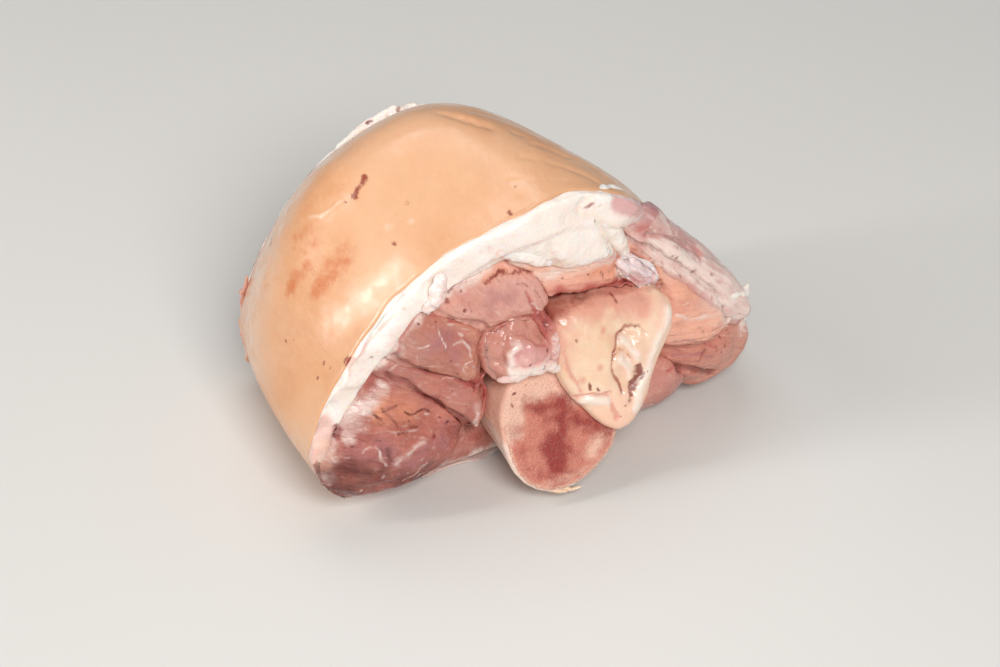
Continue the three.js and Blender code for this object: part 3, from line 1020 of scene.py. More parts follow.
BONE_MARKS = (
    Mark(((31, 7), (31, 2), (29, -3)), 4.6, -2.8, Stain.RAW, 0.5),
    Mark(((26, 5), (29, 9), (32, 11), (36, 10), (38, 8)), 0.9, -0.8, Stain.DARK, 0.9),
    Mark(((25.5, 5), (24.5, 1), (25, -3), (27, -8)), 0.6, -1.0, Stain.DARK, 1.1),
    Mark(((30, 7), (32, 4), (34, 2)), 1.6, 1.5, Stain.PALE, 1.0),
    Mark(((28, 2), (30, -1), (31, -4)), 1.3, 1.2, Stain.PALE, 0.9),
    Mark(((28, 5), (31, 1)), 0.5, -0.8, Stain.DARK, 0.6),
    Mark(((34, -2), (33.5, -5), (31, -7)), 1.2, -0.8, Stain.BLOOD, 1.2),
    *dots(Stain.BLOOD, 0.9, (30, -9), (29, -11), (35.5, 9.5), (31, 9.5), depth=-0.3),
    *dots(Stain.BLOOD, 0.5, (36, -4), (27, -12), (24, -16)),
    Mark(((36, 7), (37, 3), (36, -1)), 1.8, 0.0, Stain.WARM, 1.0),
    Mark(((48, 11), (43, 6), (38, -1), (34, -8), (31, -14)), 1.7, 0.6, Stain.PALE, 1.2),
    # the crevice above the bone: pressed in, and painted dark, partly its own red and partly painted shade
    Mark(((6, 16), (9, 20), (14, 22.5), (24, 23)), 2.6, -1.4, Stain.DARK, 1.3),
    Mark(((22, 22), (32, 20.5), (42, 17)), 1.6, -1.0, Stain.RAW, 0.9),
    Mark(((6, 11), (8, 17), (13, 20), (20, 20), (28, 19), (38, 16)), 4.0, 0.0, Stain.RAW, 1.25),
    Mark(((7, 6), (9, 13), (16, 18)), 5.0, 0.0, Stain.RAW, 0.7),
    *dots(Stain.RAW, 1.2, (20, 2), (24, 12), (40, 14), (14, -1)),
    *dots(Stain.BLOOD, 0.7, (31, 17.5), (14, 12), (19, -4), (16, -3)),
    Mark(((9, 9), (11, 0), (13, -4)), 0.6, -0.6, Stain.RAW, 1.0),
    Mark(((11, -6), (17, -5.5), (22, -6.5)), 0.6, -0.8, Stain.RAW, 1.2),
    Mark(((13, -8), (18, -8), (21, -9)), 1.6, 0.8, Stain.PALE, 1.0),
    Mark(((22, -7), (22.5, -12), (23, -16)), 0.8, -0.9, Stain.RAW, 1.1),
)
SAWN_MARKS = (
    Mark(((-4, -8), (3, -9), (8, -12)), 2.6, 0.0, Stain.DARK, 0.9),
    Mark(((7, -11), (6, -18), (2, -23), (3, -27)), 4.2, 0.0, Stain.DARK, 1.15),
    Mark(((6, -14), (12, -17), (18, -19), (22, -23)), 3.0, 0.0, Stain.DARK, 0.9),
    Mark(((-9, -14), (-9, -22), (-3, -30), (8, -32)), 3.6, 0.0, Stain.DARK, 0.5),
    *dots(Stain.BLOOD, 0.6, (-7.5, -3), (-3.5, -1), (3, 2.6), (8, 1), (-9, -6)),
    Mark(((-12, -10), (-9, -2), (-2, 1), (6, 0), (14, -5)), 5.0, 0.0, Stain.PALE, 1.7),
    Mark(((15, -27), (21, -22)), 3.0, 0.0, Stain.PALE, 0.8),
    Mark(((14, -31), (4, -33), (-4, -33)), 1.6, 0.0, Stain.PALE, 0.6),
)
GRISTLE_MARKS = (
    Mark(((-13, 11), (-8, 9), (-2, 9.5), (5, 10), (8, 12)), 0.8, -0.5, Stain.RAW, 0.5),
    Mark(((-10, 8), (-7, 6), (0, 6.5), (7, 5)), 2.2, 0.5, Stain.PALE, 1.0),
    Mark(((-9, 10), (-9, 15), (-6.5, 16.5)), 1.1, 0.4, Stain.PALE, 0.9),
    Mark(((-15, 6), (-15, 10), (-14, 17), (-10, 22), (-4, 22), (4, 17)), 3.3, 0.0, Stain.WARM, 1.8),
    Mark(((-10.5, 8), (-10.5, 15), (-7.5, 18), (-2, 17), (4, 12)), 0.7, -0.8, Stain.RAW, 0.6),
    Mark(((-15, 13), (-11, 20)), 0.4, 0.2, Stain.DARK, 0.5),
    Mark(((-12, 23), (-6, 21)), 0.4, -0.3, Stain.MAUVE, 0.8),
    Mark(((-8, 15), (-1, 14), (5, 14)), 4.0, -0.3, Stain.MAUVE, 0.9),
    *dots(Stain.BLOOD, 0.6, (4, 11), (7, 13), (-3, 10)),
    *dots(Stain.WARM, 1.6, (8, 9), (6, 12)),
)
CUT_MARKS = (*SEAM_MARKS, *LOWER_LEFT_MARKS, *TOP_MARKS, *FLANK_MARKS)
RIM_MARKS = (
    Mark(((-9, 8), (-2, 9.5), (5, 9)), 1.4, -0.4, Stain.RAW, 0.9),
    Mark(((-10, 4), (-2, 6), (7, 3), (9, -2)), 3.0, 0.0, Stain.PALE, 1.0),
    *dots(Stain.BLOOD, 0.6, (-7.5, 3), (2, 7.5), (8, 5)),
)
GLAND_MARKS = (
    Mark(((-28, 44), (-33, 41)), 0.6, -0.8, Stain.RAW, 0.5),
    Mark(((-29, 41), (-35, 38)), 0.6, -0.8, Stain.RAW, 0.6),
    *dots(Stain.BLOOD, 0.6, (-29, 39), (-28, 45)),
)
FAR_MARKS = (
    *dots(Stain.BLOOD, 1.0, (-18, 51, -75), (-8, 53, -75)),
    Mark(((-67, -2, -75), (-66, -12, -74)), 2.0, 0.0, Stain.RAW, 0.7),
)
JOINT_MARKS = (
    Mark(((5, 19), (7, 16)), 1.6, -0.6, Stain.BLOOD, 0.6),
    Mark(((8, 14), (7, 4)), 2.0, 0.0, Stain.PALE, 1.0),
    Mark(((4, 21), (7, 18)), 2.6, -0.4, Stain.DARK, 0.8),
)
FAT_MARKS = (
    Mark(((-76, -16), (-73, -8), (-70, -3)), 4.0, 0.0, Stain.RAW, 1.5),
    Mark(((-50, -36), (-38, -37), (-26, -37), (-14, -36)), 5.0, 0.0, Stain.RAW, 1.5),
    *dots(
        Stain.BLOOD, 0.6, (-12, 52), (-13.5, 50), (-9, 43), (18, 56), (24, 50), (-46, 30), (-52, 22), (-38, 41),
        strength=0.9,
    ),
    Mark(((-13, 53), (-10, 49), (-7, 46)), 0.5, -0.3, Stain.RAW, 0.9),
    Mark(((-6, 55), (4, 50), (13, 46)), 6.5, 1.3),
    Mark(((8, 47), (10, 40)), 1.6, -0.8, Stain.RAW, 0.45),
    Mark(((-14, 54), (-11, 46)), 1.2, -0.7, Stain.RAW, 0.5),
    Mark(((-24, 50), (-16, 52), (-8, 50)), 0.8, -0.4, Stain.RAW, 0.55),
    Mark(((-62, 14), (-56, 24), (-49, 32), (-41, 38)), 0.5, -0.4, Stain.RAW, 0.8),
    Mark(((-60, 11), (-53, 21), (-47, 28)), 0.4, -0.3, Stain.RAW, 0.8),
    Mark(((-66, 6), (-60, 16), (-53, 26)), 0.4, -0.3, Stain.RAW, 0.5),
    Mark(((30, 58), (36, 54), (42, 48)), 2.2, 0.9, Stain.PALE, 0.4),
)


# ---------------------------------------------------------------- marks over the skin, in the leg's frame
SKIN_MARKS = (
    # a painted highlight along the skin's rounded far edge
    Mark(((-63, 6, -71), (-68, 4.5, -61), (-73, 3, -49)), 0.6, 0.4, Stain.PALE, 1.6),
    Mark(((-49, 54, -39), (-54, 48, -35), (-57, 40, -31), (-58, 34, -28)), 8.0, 0.0, Stain.DULL, 1.6),
    Mark(((-52, 38, -20), (-49, 42, -17)), 4.0, 0.0, Stain.DULL, 0.6),
    Mark(((-66, 4, -12), (-72, -6, -22), (-74, -18, -32)), 9.0, 0.0, Stain.DULL, 1.2),
    Mark(((-37, 62, -35), (-39, 61, -34), (-41, 59, -33)), 1.0, 0.15, Stain.BLOOD, 1.15),
    *dots(Stain.BLOOD, 1.3, (-37, 62.3, -35), (-42, 58, -32), depth=0.15, strength=1.2),
    *dots(
        Stain.BLOOD, 0.5, (-44, 59, -36), (-45, 56, -33), (-32, 58, -23), (-33, 56, -21), (-33, 53, -16),
        (-39, 50, -18), (-50, 40, -18), strength=1.3,
    ),
    *dots(Stain.BLOOD, 0.7, (-64, 15, -10), (-66, 11, -9), (-65, 16, -9), (-61.5, 27, -58), strength=1.2),
    *dots(
        Stain.BLOOD, 1.0, (-29, 58, -21), (-37, 50, -15), (-10, 59, -1), (-3, 60, -1), (-61, 41, -36), strength=1.1,
    ),
    Mark(((-59, 26, -64), (-60, 28, -60), (-62, 29, -56)), 0.6, 0.1, Stain.BLOOD, 1.0),
    *dots(
        Stain.BLOOD, 0.6, (-63, 15, -6), (-70, 13, -27), (-68, 16, -24), (-17.5, 72, -35), (-13, 54, 0),
        (2, 64, -8), (-6, 58, -2), (-1, 58.5, 0), (-12, 57, -3), (9, 62, -5), strength=1.3,
    ),
    *dots(Stain.BLOOD, 1.7, (-59, 20, -1), strength=1.2),
    Mark(((-60, 42, -40), (-56, 47, -37)), 1.8, 0.0, Stain.WARM, 1.0),
    Mark(((-60, 40, -36), (-55, 45, -33)), 3.4, 0.0, Stain.WARM, 0.55),
    Mark(((-66, 28, -34), (-62, 33, -32), (-60, 37, -31)), 2.2, 0.0, Stain.WARM, 1.3),
    Mark(((-59, 33, -24), (-54, 39, -23), (-49, 44, -22)), 3.2, 0.0, Stain.WARM, 1.0),
    Mark(((-68, 21, -47), (-66, 26, -42)), 2.6, 0.0, Stain.WARM, 0.55),
    *dots(
        Stain.BLOOD, 0.35, (-58, 34, -24), (-57, 36, -25), (-56, 35, -22), (-55, 38, -24), (-59, 36, -26),
        strength=1.1,
    ),
    # painted highlights: two pale spots on the skin
    *dots(Stain.PALE, 1.6, (-36, 53, -20), strength=1.2),
    *dots(Stain.PALE, 1.1, (-30, 55, -16)),
    Mark(((-57, 47, -42), (-52, 51, -37), (-46, 56, -34)), 0.7, 0.15, Stain.PALE, 0.9),
    Mark(((-18, 71, -37), (-16, 71, -35)), 0.5, 0.0, Stain.BLOOD, 0.8),
    # folds in the skin, pressed in, with painted shade along them
    Mark(((9, 66, -18), (16, 65, -15), (23, 62, -11), (30, 59, -5)), 1.2, -0.35, Stain.DARK, 0.3),
    Mark(((16, 66, -25), (24, 62, -20), (31, 58, -18), (36, 55, -9)), 1.5, -0.55, Stain.DARK, 0.5),
    Mark(((12, 67, -30), (22, 65, -27), (32, 59, -22)), 1.2, -0.35, Stain.DARK, 0.25),
    Mark(((-6, 73, -44), (-1, 71, -38), (5, 69, -33)), 1.6, -0.9, Stain.DARK, 0.35),
    Mark(((4, 69, -45), (14, 67, -40), (24, 62, -34)), 1.6, -0.35),
    Mark(((2, 64, -10), (12, 63, -8), (20, 61, -5)), 1.0, -0.25),
    Mark(((-44, 62, -60), (-30, 68, -58), (-18, 71, -55)), 2.0, -0.6),
)


# ---------------------------------------------------------------- the rind
def between(grid: np.ndarray, cells: tuple[np.ndarray, ...], s: np.ndarray, t: np.ndarray) -> np.ndarray:
    """Reads a grid between its knots.

    Args:
        grid: the grid's values.
        cells: the rows before and after each spot, and the columns before it.
        s: how far each spot is from one row to the next.
        t: how far it is from one column to the next.

    Returns:
        The values at the spots.
    """
    i, k, j = cells
    low = grid[i, j] * (1 - s) + grid[k, j] * s
    high = grid[i, j + 1] * (1 - s) + grid[k, j + 1] * s
    return low * (1 - t) + high * t


def humped(angle: np.ndarray, centre: float, spread: float) -> np.ndarray:
    """Marks off one side of the leg.

    Args:
        angle: angles round the leg.
        centre: the middle of that side, in degrees.
        spread: how wide it is, in radians.

    Returns:
        1 at its middle, falling off to 0 on both sides.
    """
    return np.exp(-(((angle - math.radians(centre)) / spread) ** 2))


@dataclass
class Rind:
    """The rind: a closed sheet of skin round the leg, with rounded cut edges."""

    OUTSIDE = 200.0  # rays start this far from the leg's middle line
    DEEPEST = 175.0  # and go this deep at most
    INSET = 0.3  # how far inside the skin's edges it is measured
    SOFTENINGS = 150  # how often the girths are softened along the leg
    SOFTENINGS_AROUND = 6  # they are softened round it once in this many times

    thickness: float = 3.0
    columns: int = 560
    rows: int = 100
    inner_rows: int = 14
    rim_rows: int = 6
    middle: tuple[float, float] = (0.0, 6.0)
    rays: tuple[int, int] = (360, 80)
    undercut_from: float = -20.0
    undercut_slope: float = 0.35
    flank_from: float = 40.0
    flank_slope: float = 0.905
    drawn_back: float = 2.0
    thinning: float = 1.4
    lapping: float = 2.8
    settled: float = 0.34
    finish: Finish = SKIN
    girth: np.ndarray = field(init=False, repr=False)
    angle: np.ndarray = field(init=False, repr=False)
    near: np.ndarray = field(init=False, repr=False)
    far: np.ndarray = field(init=False, repr=False)

    def measure(self, node: bpy.types.Object, leg: LegFrame) -> None:
        """Finds how far out the skin lies round the leg and along it.

        Args:
            node: the rind's node.
            leg: the leg's frame.
        """
        places, faces = plain(node, leg)
        tree = BVHTree.FromPolygons([Vector(p) for p in places], faces)
        around, along = self.rays
        girth = np.full(self.rays, np.nan)
        for i in range(around):
            angle = i * math.tau / around
            out = Vector((math.cos(angle), math.sin(angle), 0))
            for j in range(along):
                length = 0.0 - FAR_CUT - self.drawn_back - 2 * self.INSET
                w = FAR_CUT + self.drawn_back + self.INSET + length * j / (along - 1)
                start = Vector((*self.middle, w)) + out * self.OUTSIDE
                hit = tree.ray_cast(start, -out)[0]
                if hit is not None and (start - hit).length < self.DEEPEST:
                    girth[i, j] = self.OUTSIDE - (start - hit).length
        for i in range(around):
            known = np.flatnonzero(~np.isnan(girth[i]))
            girth[i] = np.interp(np.arange(along), known, girth[i][known])
        for turn in range(self.SOFTENINGS):
            if turn % self.SOFTENINGS_AROUND == 0:
                girth = (np.roll(girth, 1, 0) + 2 * girth + np.roll(girth, -1, 0)) / 4
            padded = np.pad(girth, ((0, 0), (1, 1)), mode="reflect", reflect_type="odd")
            girth = (padded[:, :-2] + 2 * girth + padded[:, 2:]) / 4
        self.girth = girth
        self.angle = np.arange(self.columns) * math.tau / self.columns
        self.far, self.near = self.rims(self.angle, Lumps(11))

    def radius(self, angle: np.ndarray, w: np.ndarray) -> np.ndarray:
        """How far out the skin lies.

        Args:
            angle: angles round the leg.
            w: places along it.

        Returns:
            The distances from the leg's middle line.
        """
        around, along = self.rays
        a = (angle / math.tau * around) % around
        b = np.clip((w - FAR_CUT - self.drawn_back) / (-FAR_CUT - self.drawn_back) * (along - 1), 0, along - 1.001)
        i, j = np.floor(a).astype(int), np.floor(b).astype(int)
        s, t = a - i, b - j
        i, k = i % around, (i + 1) % around
        return between(self.girth, (i, k, j), s, t)

    def surface(self, angle: np.ndarray, w: np.ndarray) -> np.ndarray:
        """The skin's outer surface in the leg's frame."""
        r = self.radius(angle, w)
        return np.stack([self.middle[0] + r * np.cos(angle), self.middle[1] + r * np.sin(angle), w], axis=-1)

    def rims(self, angle: np.ndarray, lumps: Lumps) -> tuple[np.ndarray, np.ndarray]:
        """Where the skin's edges lie.

        Args:
            angle: angles round the leg.
            lumps: the noise that makes the edges uneven.

        Returns:
            The far and near edges' places along w at each angle.
        """
        ring = np.stack([np.cos(angle), np.sin(angle), np.zeros_like(angle)], axis=-1) * 60
        near = np.zeros_like(angle)
        for _ in range(3):
            at = self.surface(angle, near)
            near = np.minimum(0.0, self.undercut_slope * (at[:, 1] - self.undercut_from))
            near = np.minimum(near, -self.flank_slope * (at[:, 0] - self.flank_from))
        near += lumps.at(ring, 9.0, 2) * 0.6 - 1.7
        near += self.lapping * humped(angle, 97, 0.3)
        left = humped(angle, 180, 0.45)
        far = FAR_CUT + self.drawn_back + 0.6 + (lumps.at(ring + 50, 7.0, 3) * 0.6 + 0.5) * (1 + 1.6 * left)
        return far, near

    def build(self, node: bpy.types.Object, leg: LegFrame) -> bpy.types.Object:
        """Makes the closed sheet.

        Args:
            node: the rind's node.
            leg: the leg's frame.

        Returns:
            The finished object.
        """
        self.measure(node, leg)
        lumps = Lumps(12)
        angle, far, near = self.angle, self.far, self.near

        def sheet(count: int) -> tuple[np.ndarray, np.ndarray, np.ndarray]:
            """Rings of the skin's outer surface, from the far edge to the near one.

            Args:
                count: how many rings.

            Returns:
                Their places, the directions out of the skin, and the directions along the leg.
            """
            share = np.linspace(0, 1, count)
            w = far + (near - far) * share[:, None]
            turn = np.broadcast_to(angle, w.shape)
            at = self.surface(turn.ravel(), w.ravel()).reshape(*w.shape, 3)
            step, aside = 0.5, 0.01
            around = self.surface(turn.ravel() + aside, w.ravel()).reshape(at.shape) - at
            along = self.surface(turn.ravel(), w.ravel() - step).reshape(at.shape) - at
            out = np.cross(along, around)
            out /= np.linalg.norm(out, axis=-1, keepdims=True)
            out *= np.sign((out[..., :2] * at[..., :2]).sum(axis=-1, keepdims=True))
            run = np.gradient(at, axis=0)
            run /= np.linalg.norm(run, axis=-1, keepdims=True)
            return at, out, run

        outer, out, run = sheet(self.rows)
        flat = outer.reshape(-1, 3)
        broad, small = 0.16 * lumps.at(flat, 30.0), 0.045 * lumps.at(flat, 7.0, 2)
        lift = press(flat, SKIN_MARKS) + broad + small - self.settled
        outer = outer + out * lift.reshape(outer.shape[:2])[..., None]
        inner, inner_out, _ = sheet(self.inner_rows)
        thin = np.interp(np.linspace(0, 1, self.inner_rows), [0, 0.8, 1], [0.0, 0.0, self.thinning])
        inner = (inner - inner_out * (self.thickness - thin)[:, None, None])[::-1]
        turns = np.linspace(90, -90, self.rim_rows + 2)[1:-1] * math.pi / 180

        def rim(edge: int, sign: float) -> np.ndarray:
            """Rings round a cut edge of the skin.

            Args:
                edge: -1 for the near edge and 0 for the far one.
                sign: 1 where the edge faces along w, and -1 where it faces back.

            Returns:
                The rings' places, from the outside in.
            """
            half = (self.thickness - (self.thinning if edge else 0)) / 2
            core = outer[edge] - out[edge] * half
            across, along = out[edge] * half, run[edge] * half * sign
            return np.stack([core + across * math.sin(t) + along * math.cos(t) for t in turns])

        loops = np.concatenate([outer, rim(-1, 1.0), inner, rim(0, -1.0)[::-1]])
        loops = np.concatenate([loops, loops[:1]])
        loops = np.concatenate([loops, loops[:, :1]], axis=1)
        bm = bmesh.new()
        rows, columns = loops.shape[0] - 1, loops.shape[1] - 1
        bmesh.ops.create_grid(bm, x_segments=columns, y_segments=rows, size=1)
        for v in bm.verts:
            i = round((v.co.y + 1) / 2 * rows)
            j = round((v.co.x + 1) / 2 * columns)
            v.co = loops[i, j]
        bmesh.ops.remove_doubles(bm, verts=bm.verts, dist=1e-5)
        bmesh.ops.recalc_face_normals(bm, faces=bm.faces)
        mesh = meshed(bm, "rind_skin")

        places = points_of(mesh)
        turn = np.arctan2(places[:, 1] - self.middle[1], places[:, 0] - self.middle[0]) % math.tau
        out_there = np.hypot(places[:, 0] - self.middle[0], places[:, 1] - self.middle[1])
        depth = self.radius(turn, places[:, 2]) - out_there
        edge = np.clip(depth / self.thickness, 0, 1)
        far_there = np.interp(turn, angle, far, period=math.tau)
        left = humped(turn, 178, 0.42)
        raw = np.clip(1 - (places[:, 2] - far_there) / 5, 0, 1) * left
        paint(mesh, places, SKIN_MARKS, {Stain.EDGE: edge, Stain.RAW: raw})
        place(mesh, np.clip(leg.to_row(places), *limits()))
        return piece("rind_skin", mesh, "rind")


# ---------------------------------------------------------------- the flesh inside it
CAD_BOX: list[np.ndarray] = []


def limits() -> tuple[np.ndarray, np.ndarray]:
    """The lowest and highest corners that the pieces stay within."""
    return CAD_BOX[0], CAD_BOX[1]


class Relief:
    """How far ahead the meat lies over the near cut, smoothed across its seams."""

    LOW = np.array([-92.0, -46.0])
    SHAPE = (186, 124)
    AHEAD = 60.0  # rays start this far ahead of the cut
    REACH = 80.0  # and go this far

    def __init__(self, meat: BVHTree, passes: int = 14) -> None:
        """Measures the meat from in front, and smooths what it finds.

        Args:
            meat: the meat that shows at the near cut.
            passes: how many times the heights are smoothed.
        """
        heights = np.zeros(self.SHAPE)
        known = np.zeros(self.SHAPE)
        for i, j in np.ndindex(*self.SHAPE):
            start = Vector((self.LOW[0] + i, self.LOW[1] + j, self.AHEAD))
            hit = meat.ray_cast(start, Vector((0, 0, -1)), self.REACH)[0]
            if hit is not None:
                heights[i, j], known[i, j] = hit.z, 1.0
        for _ in range(passes):
            heights, known = self.blur(heights), self.blur(known)
        self.heights = heights / np.maximum(known, 1e-6)

    @staticmethod
    def blur(grid: np.ndarray) -> np.ndarray:
        """One soft pass over a grid.

        Args:
            grid: the grid's values.

        Returns:
            The softened grid.
        """
        for axis in (0, 1):
            grid = (np.roll(grid, 1, axis) + 2 * grid + np.roll(grid, -1, axis)) / 4
        return grid

    def at(self, places: np.ndarray) -> np.ndarray:
        """The smoothed height at each place.

        Args:
            places: rows of u, v and w.

        Returns:
            The heights along w.
        """
        spots = np.clip(places[:, :2] - self.LOW, 0, np.array(self.SHAPE) - 1.001)
        cell = np.floor(spots).astype(int)
        s, t = (spots - cell).T
        i, j = cell.T
        return between(self.heights, (i, i + 1, j), s, t)


def eased(values: np.ndarray, low: float, high: float) -> np.ndarray:
    """Values eased from 0 at low to 1 at high."""
    t = np.clip((values - low) / (high - low), 0, 1)
    return t * t * (3 - 2 * t)


def smooth(mesh: bpy.types.Mesh, times: int) -> None:
    """Smooths a mesh.

    Args:
        mesh: the mesh.
        times: how many times each vertex moves half way to its neighbours' middle.
    """
    bm = bmesh.new()
    bm.from_mesh(mesh)
    for _ in range(times):
        bmesh.ops.smooth_vert(bm, verts=bm.verts, factor=0.5, use_axis_x=True, use_axis_y=True, use_axis_z=True)
    bm.to_mesh(mesh)
    bm.free()


def evened(mesh: bpy.types.Mesh, voxel: float, smoothing: int) -> bpy.types.Mesh:
    """Remakes a closed mesh with even faces.

    Args:
        mesh: the mesh, which is used up.
        voxel: how wide the faces are.
        smoothing: how many times the result is smoothed.

    Returns:
        The new mesh.
    """
    rough = put("rough", mesh)
    rough.modifiers.new("even", "REMESH").voxel_size = voxel
    rough.modifiers["even"].mode = "VOXEL"
    graph = bpy.context.evaluated_depsgraph_get()
    fine = bpy.data.meshes.new_from_object(rough.evaluated_get(graph))
    bpy.data.objects.remove(rough)
    bpy.data.meshes.remove(mesh)
    smooth(fine, smoothing)
    return fine


@dataclass
class Flesh:
    """A soft or bony piece, grown and worked from its node's plain solid."""

    SEAM_SHADE_REACH = 4.0  # how near its neighbours a place is given painted shade where the pieces meet
    FILM_REACH = 9.0  # how near the fat a place has a film of it
    LEVEL_REACH = 8.0  # how near its neighbours a place is brought level with them
    DRAWN_OUT = 4.0  # how far the solid is drawn out past the far cut before it is cut off square

    node: str
    tissue: Tissue
    finish: Finish
    voxel: float = 0.7
    smoothing: int = 12
    swell: float = 0.6
    lump: float = 0.5
    lump_size: float = 11.0
    fibre: float = 0.18
    recess: float = 0.5
    seed: int = 1
    level: float = 0.0
    marks: tuple[Mark, ...] = CUT_MARKS

    def remesh(self, node: bpy.types.Object, leg: LegFrame) -> bpy.types.Mesh:
        """An even, closed mesh of the node's solid, drawn out past the far cut.

        Args:
            node: the node.
            leg: the leg's frame.

        Returns:
            The mesh, in millimetres in the leg's frame.
        """
        mesh = meshed(merged(node), self.node)
        places = leg.to_leg(points_of(mesh))
        places[places[:, 2] < FAR_CUT + 0.1, 2] -= self.DRAWN_OUT
        place(mesh, places)
        return evened(mesh, self.voxel, self.smoothing)

    def work(self, places: np.ndarray) -> np.ndarray:
        """How far each vertex is raised: the swelling, lumps, fibres and marks.

        Args:
            places: the vertices as u, v and w.

        Returns:
            Heights in millimetres.
        """
        lumps = Lumps(self.seed)
        grain = np.array(self.finish.grain) / np.linalg.norm(self.finish.grain)
        lift = self.swell + self.lump * lumps.at(places, self.lump_size, 2)
        lift += self.fibre * lumps.along(places, grain, 6.0, 1.6, 2)
        return lift + press(places, self.marks)

    def gaps(self, places: np.ndarray, tree: BVHTree, reach: float) -> np.ndarray:
        """How near each shown place is to some solids.

        Args:
            places: rows of u, v and w.
            tree: the solids.
            reach: how far away they still count.

        Returns:
            1 where a place touches them, down to 0 out of reach.
        """
        near = np.zeros(len(places))
        for i in np.flatnonzero((places[:, 2] > NEAR_ZONE) | (places[:, 2] < FAR_CUT + 3)):
            gap = tree.find_nearest(Vector(places[i]), reach)[3]
            near[i] = 1 - gap / reach if gap is not None else 0
        return near

    def flatten(self, places: np.ndarray, normals: np.ndarray, near: np.ndarray, relief: "Relief") -> np.ndarray:
        """Brings the near cut's face level with its neighbours', so that only the seams' own creases are left.

        Args:
            places: the vertices as u, v and w.
            normals: their normals.
            near: how near each is to its neighbours.
            relief: the near cut's smoothed face.

        Returns:
            The places moved along w.
        """
        share = self.level * eased(normals[:, 2], 0.05, 0.5) * eased(near, 0.1, 0.6) * (places[:, 2] > NEAR_ZONE)
        moved = places.copy()
        moved[:, 2] += share * np.clip(relief.at(places) - places[:, 2], -5, 7)
        return moved

    def fields(self, places: np.ndarray, normals: np.ndarray, solids: "Solids") -> dict[Stain, np.ndarray]:
        """The fields that come from how the piece lies against its neighbours.

        Args:
            places: the vertices as u, v and w.
            normals: their normals, which a plain piece doesn't need.
            solids: the neighbours.

        Returns:
            The fields' values at the vertices.
        """
        # painted shade near the neighbours, and the film of fat near the fat
        others = self.gaps(places, solids.without(self.node), self.SEAM_SHADE_REACH)
        return {Stain.SEAM: others, Stain.FILM: self.gaps(places, solids.fat, self.FILM_REACH)}

    def shape(self, places: np.ndarray) -> np.ndarray:
        """A change of the piece's own, after its marks. A plain piece has none."""
        return places

    def build(self, frame: Mapping[str, bpy.types.Object], leg: LegFrame, solids: "Solids") -> bpy.types.Object:
        """Makes the piece.

        Args:
            frame: the nodes by name.
            leg: the leg's frame.
            solids: the neighbours.

        Returns:
            The finished object.
        """
        mesh = self.remesh(frame[self.node], leg)
        places, normals = points_of(mesh), normals_of(mesh)
        if self.level:
            near = self.gaps(places, solids.without(self.node), self.LEVEL_REACH)
            place(mesh, self.flatten(places, normals, near, solids.relief))
            smooth(mesh, 4)
            places, normals = points_of(mesh), normals_of(mesh)
        fields = self.fields(places, normals, solids)
        places = places + normals * self.work(places)[:, None]
        places = self.shape(places)
        places[:, 2] = np.maximum(places[:, 2], FAR_CUT + self.recess)
        paint(mesh, places, self.marks, fields)
        place(mesh, np.clip(leg.to_row(places), *limits()))
        return piece(f"{self.node}_flesh", mesh, self.node)


@dataclass
class SawnBone(Flesh):
    """The stub of the upper bone, whose sawn face shows its marrow inside a pale rim."""

    FRONT = 4.0  # the sawn face lies ahead of this w
    FLAT = 0.93  # a place whose normal agrees this well with the sawn face lies on it
    BORDER = (0.3, 0.8)  # and a place whose normal agrees this well lies on its rounded border

    facing: Point = (0.0, 0.41, 0.91)
    rim: float = 7.0

    def fields(self, places: np.ndarray, normals: np.ndarray, solids: "Solids") -> dict[Stain, np.ndarray]:
        """Adds the sawn face, and how near its edge each place is.

        Args:
            places: the vertices as u, v and w.
            normals: their normals.
            solids: the neighbours.

        Returns:
            The fields' values at the vertices.
        """
        made = super().fields(places, normals, solids)
        square = normals @ np.array(self.facing)
        front = places[:, 2] > self.FRONT
        face = (square > self.FLAT) & front
        border = places[(square > self.BORDER[0]) & (square < self.BORDER[1]) & front]
        edge = np.zeros(len(places))
        for i in np.flatnonzero(face):
            edge[i] = max(0.0, 1 - np.sqrt(((border - places[i]) ** 2).sum(axis=1).min()) / self.rim)
        made[Stain.FACE] = np.where(face, 1.0, 0.0)
        made[Stain.EDGE] = edge
        return made


@dataclass
class ShankBone(Flesh):
    """The shank bone: a ridged joint end at the near cut, and marrow in its shaft at the far cut."""

    def fields(self, places: np.ndarray, normals: np.ndarray, solids: "Solids") -> dict[Stain, np.ndarray]:
        """Adds the shaft's sawn end, from 1 at its middle to 0 at its wall.

        Args:
            places: the vertices as u, v and w.
            normals: their normals.
            solids: the neighbours.

        Returns:
            The fields' values at the vertices.
        """
        made = super().fields(places, normals, solids)
        end = places[:, 2] < FAR_CUT + 0.5
        middle = places[end, :2].mean(axis=0)
        out = np.linalg.norm(places[:, :2] - middle, axis=1)
        made[Stain.FACE] = np.where(end, np.clip(1 - out / out[end].max(), 0, 1), 0.0)
        made[Stain.EDGE] = np.where(end, 1.0, 0.0)
        return made


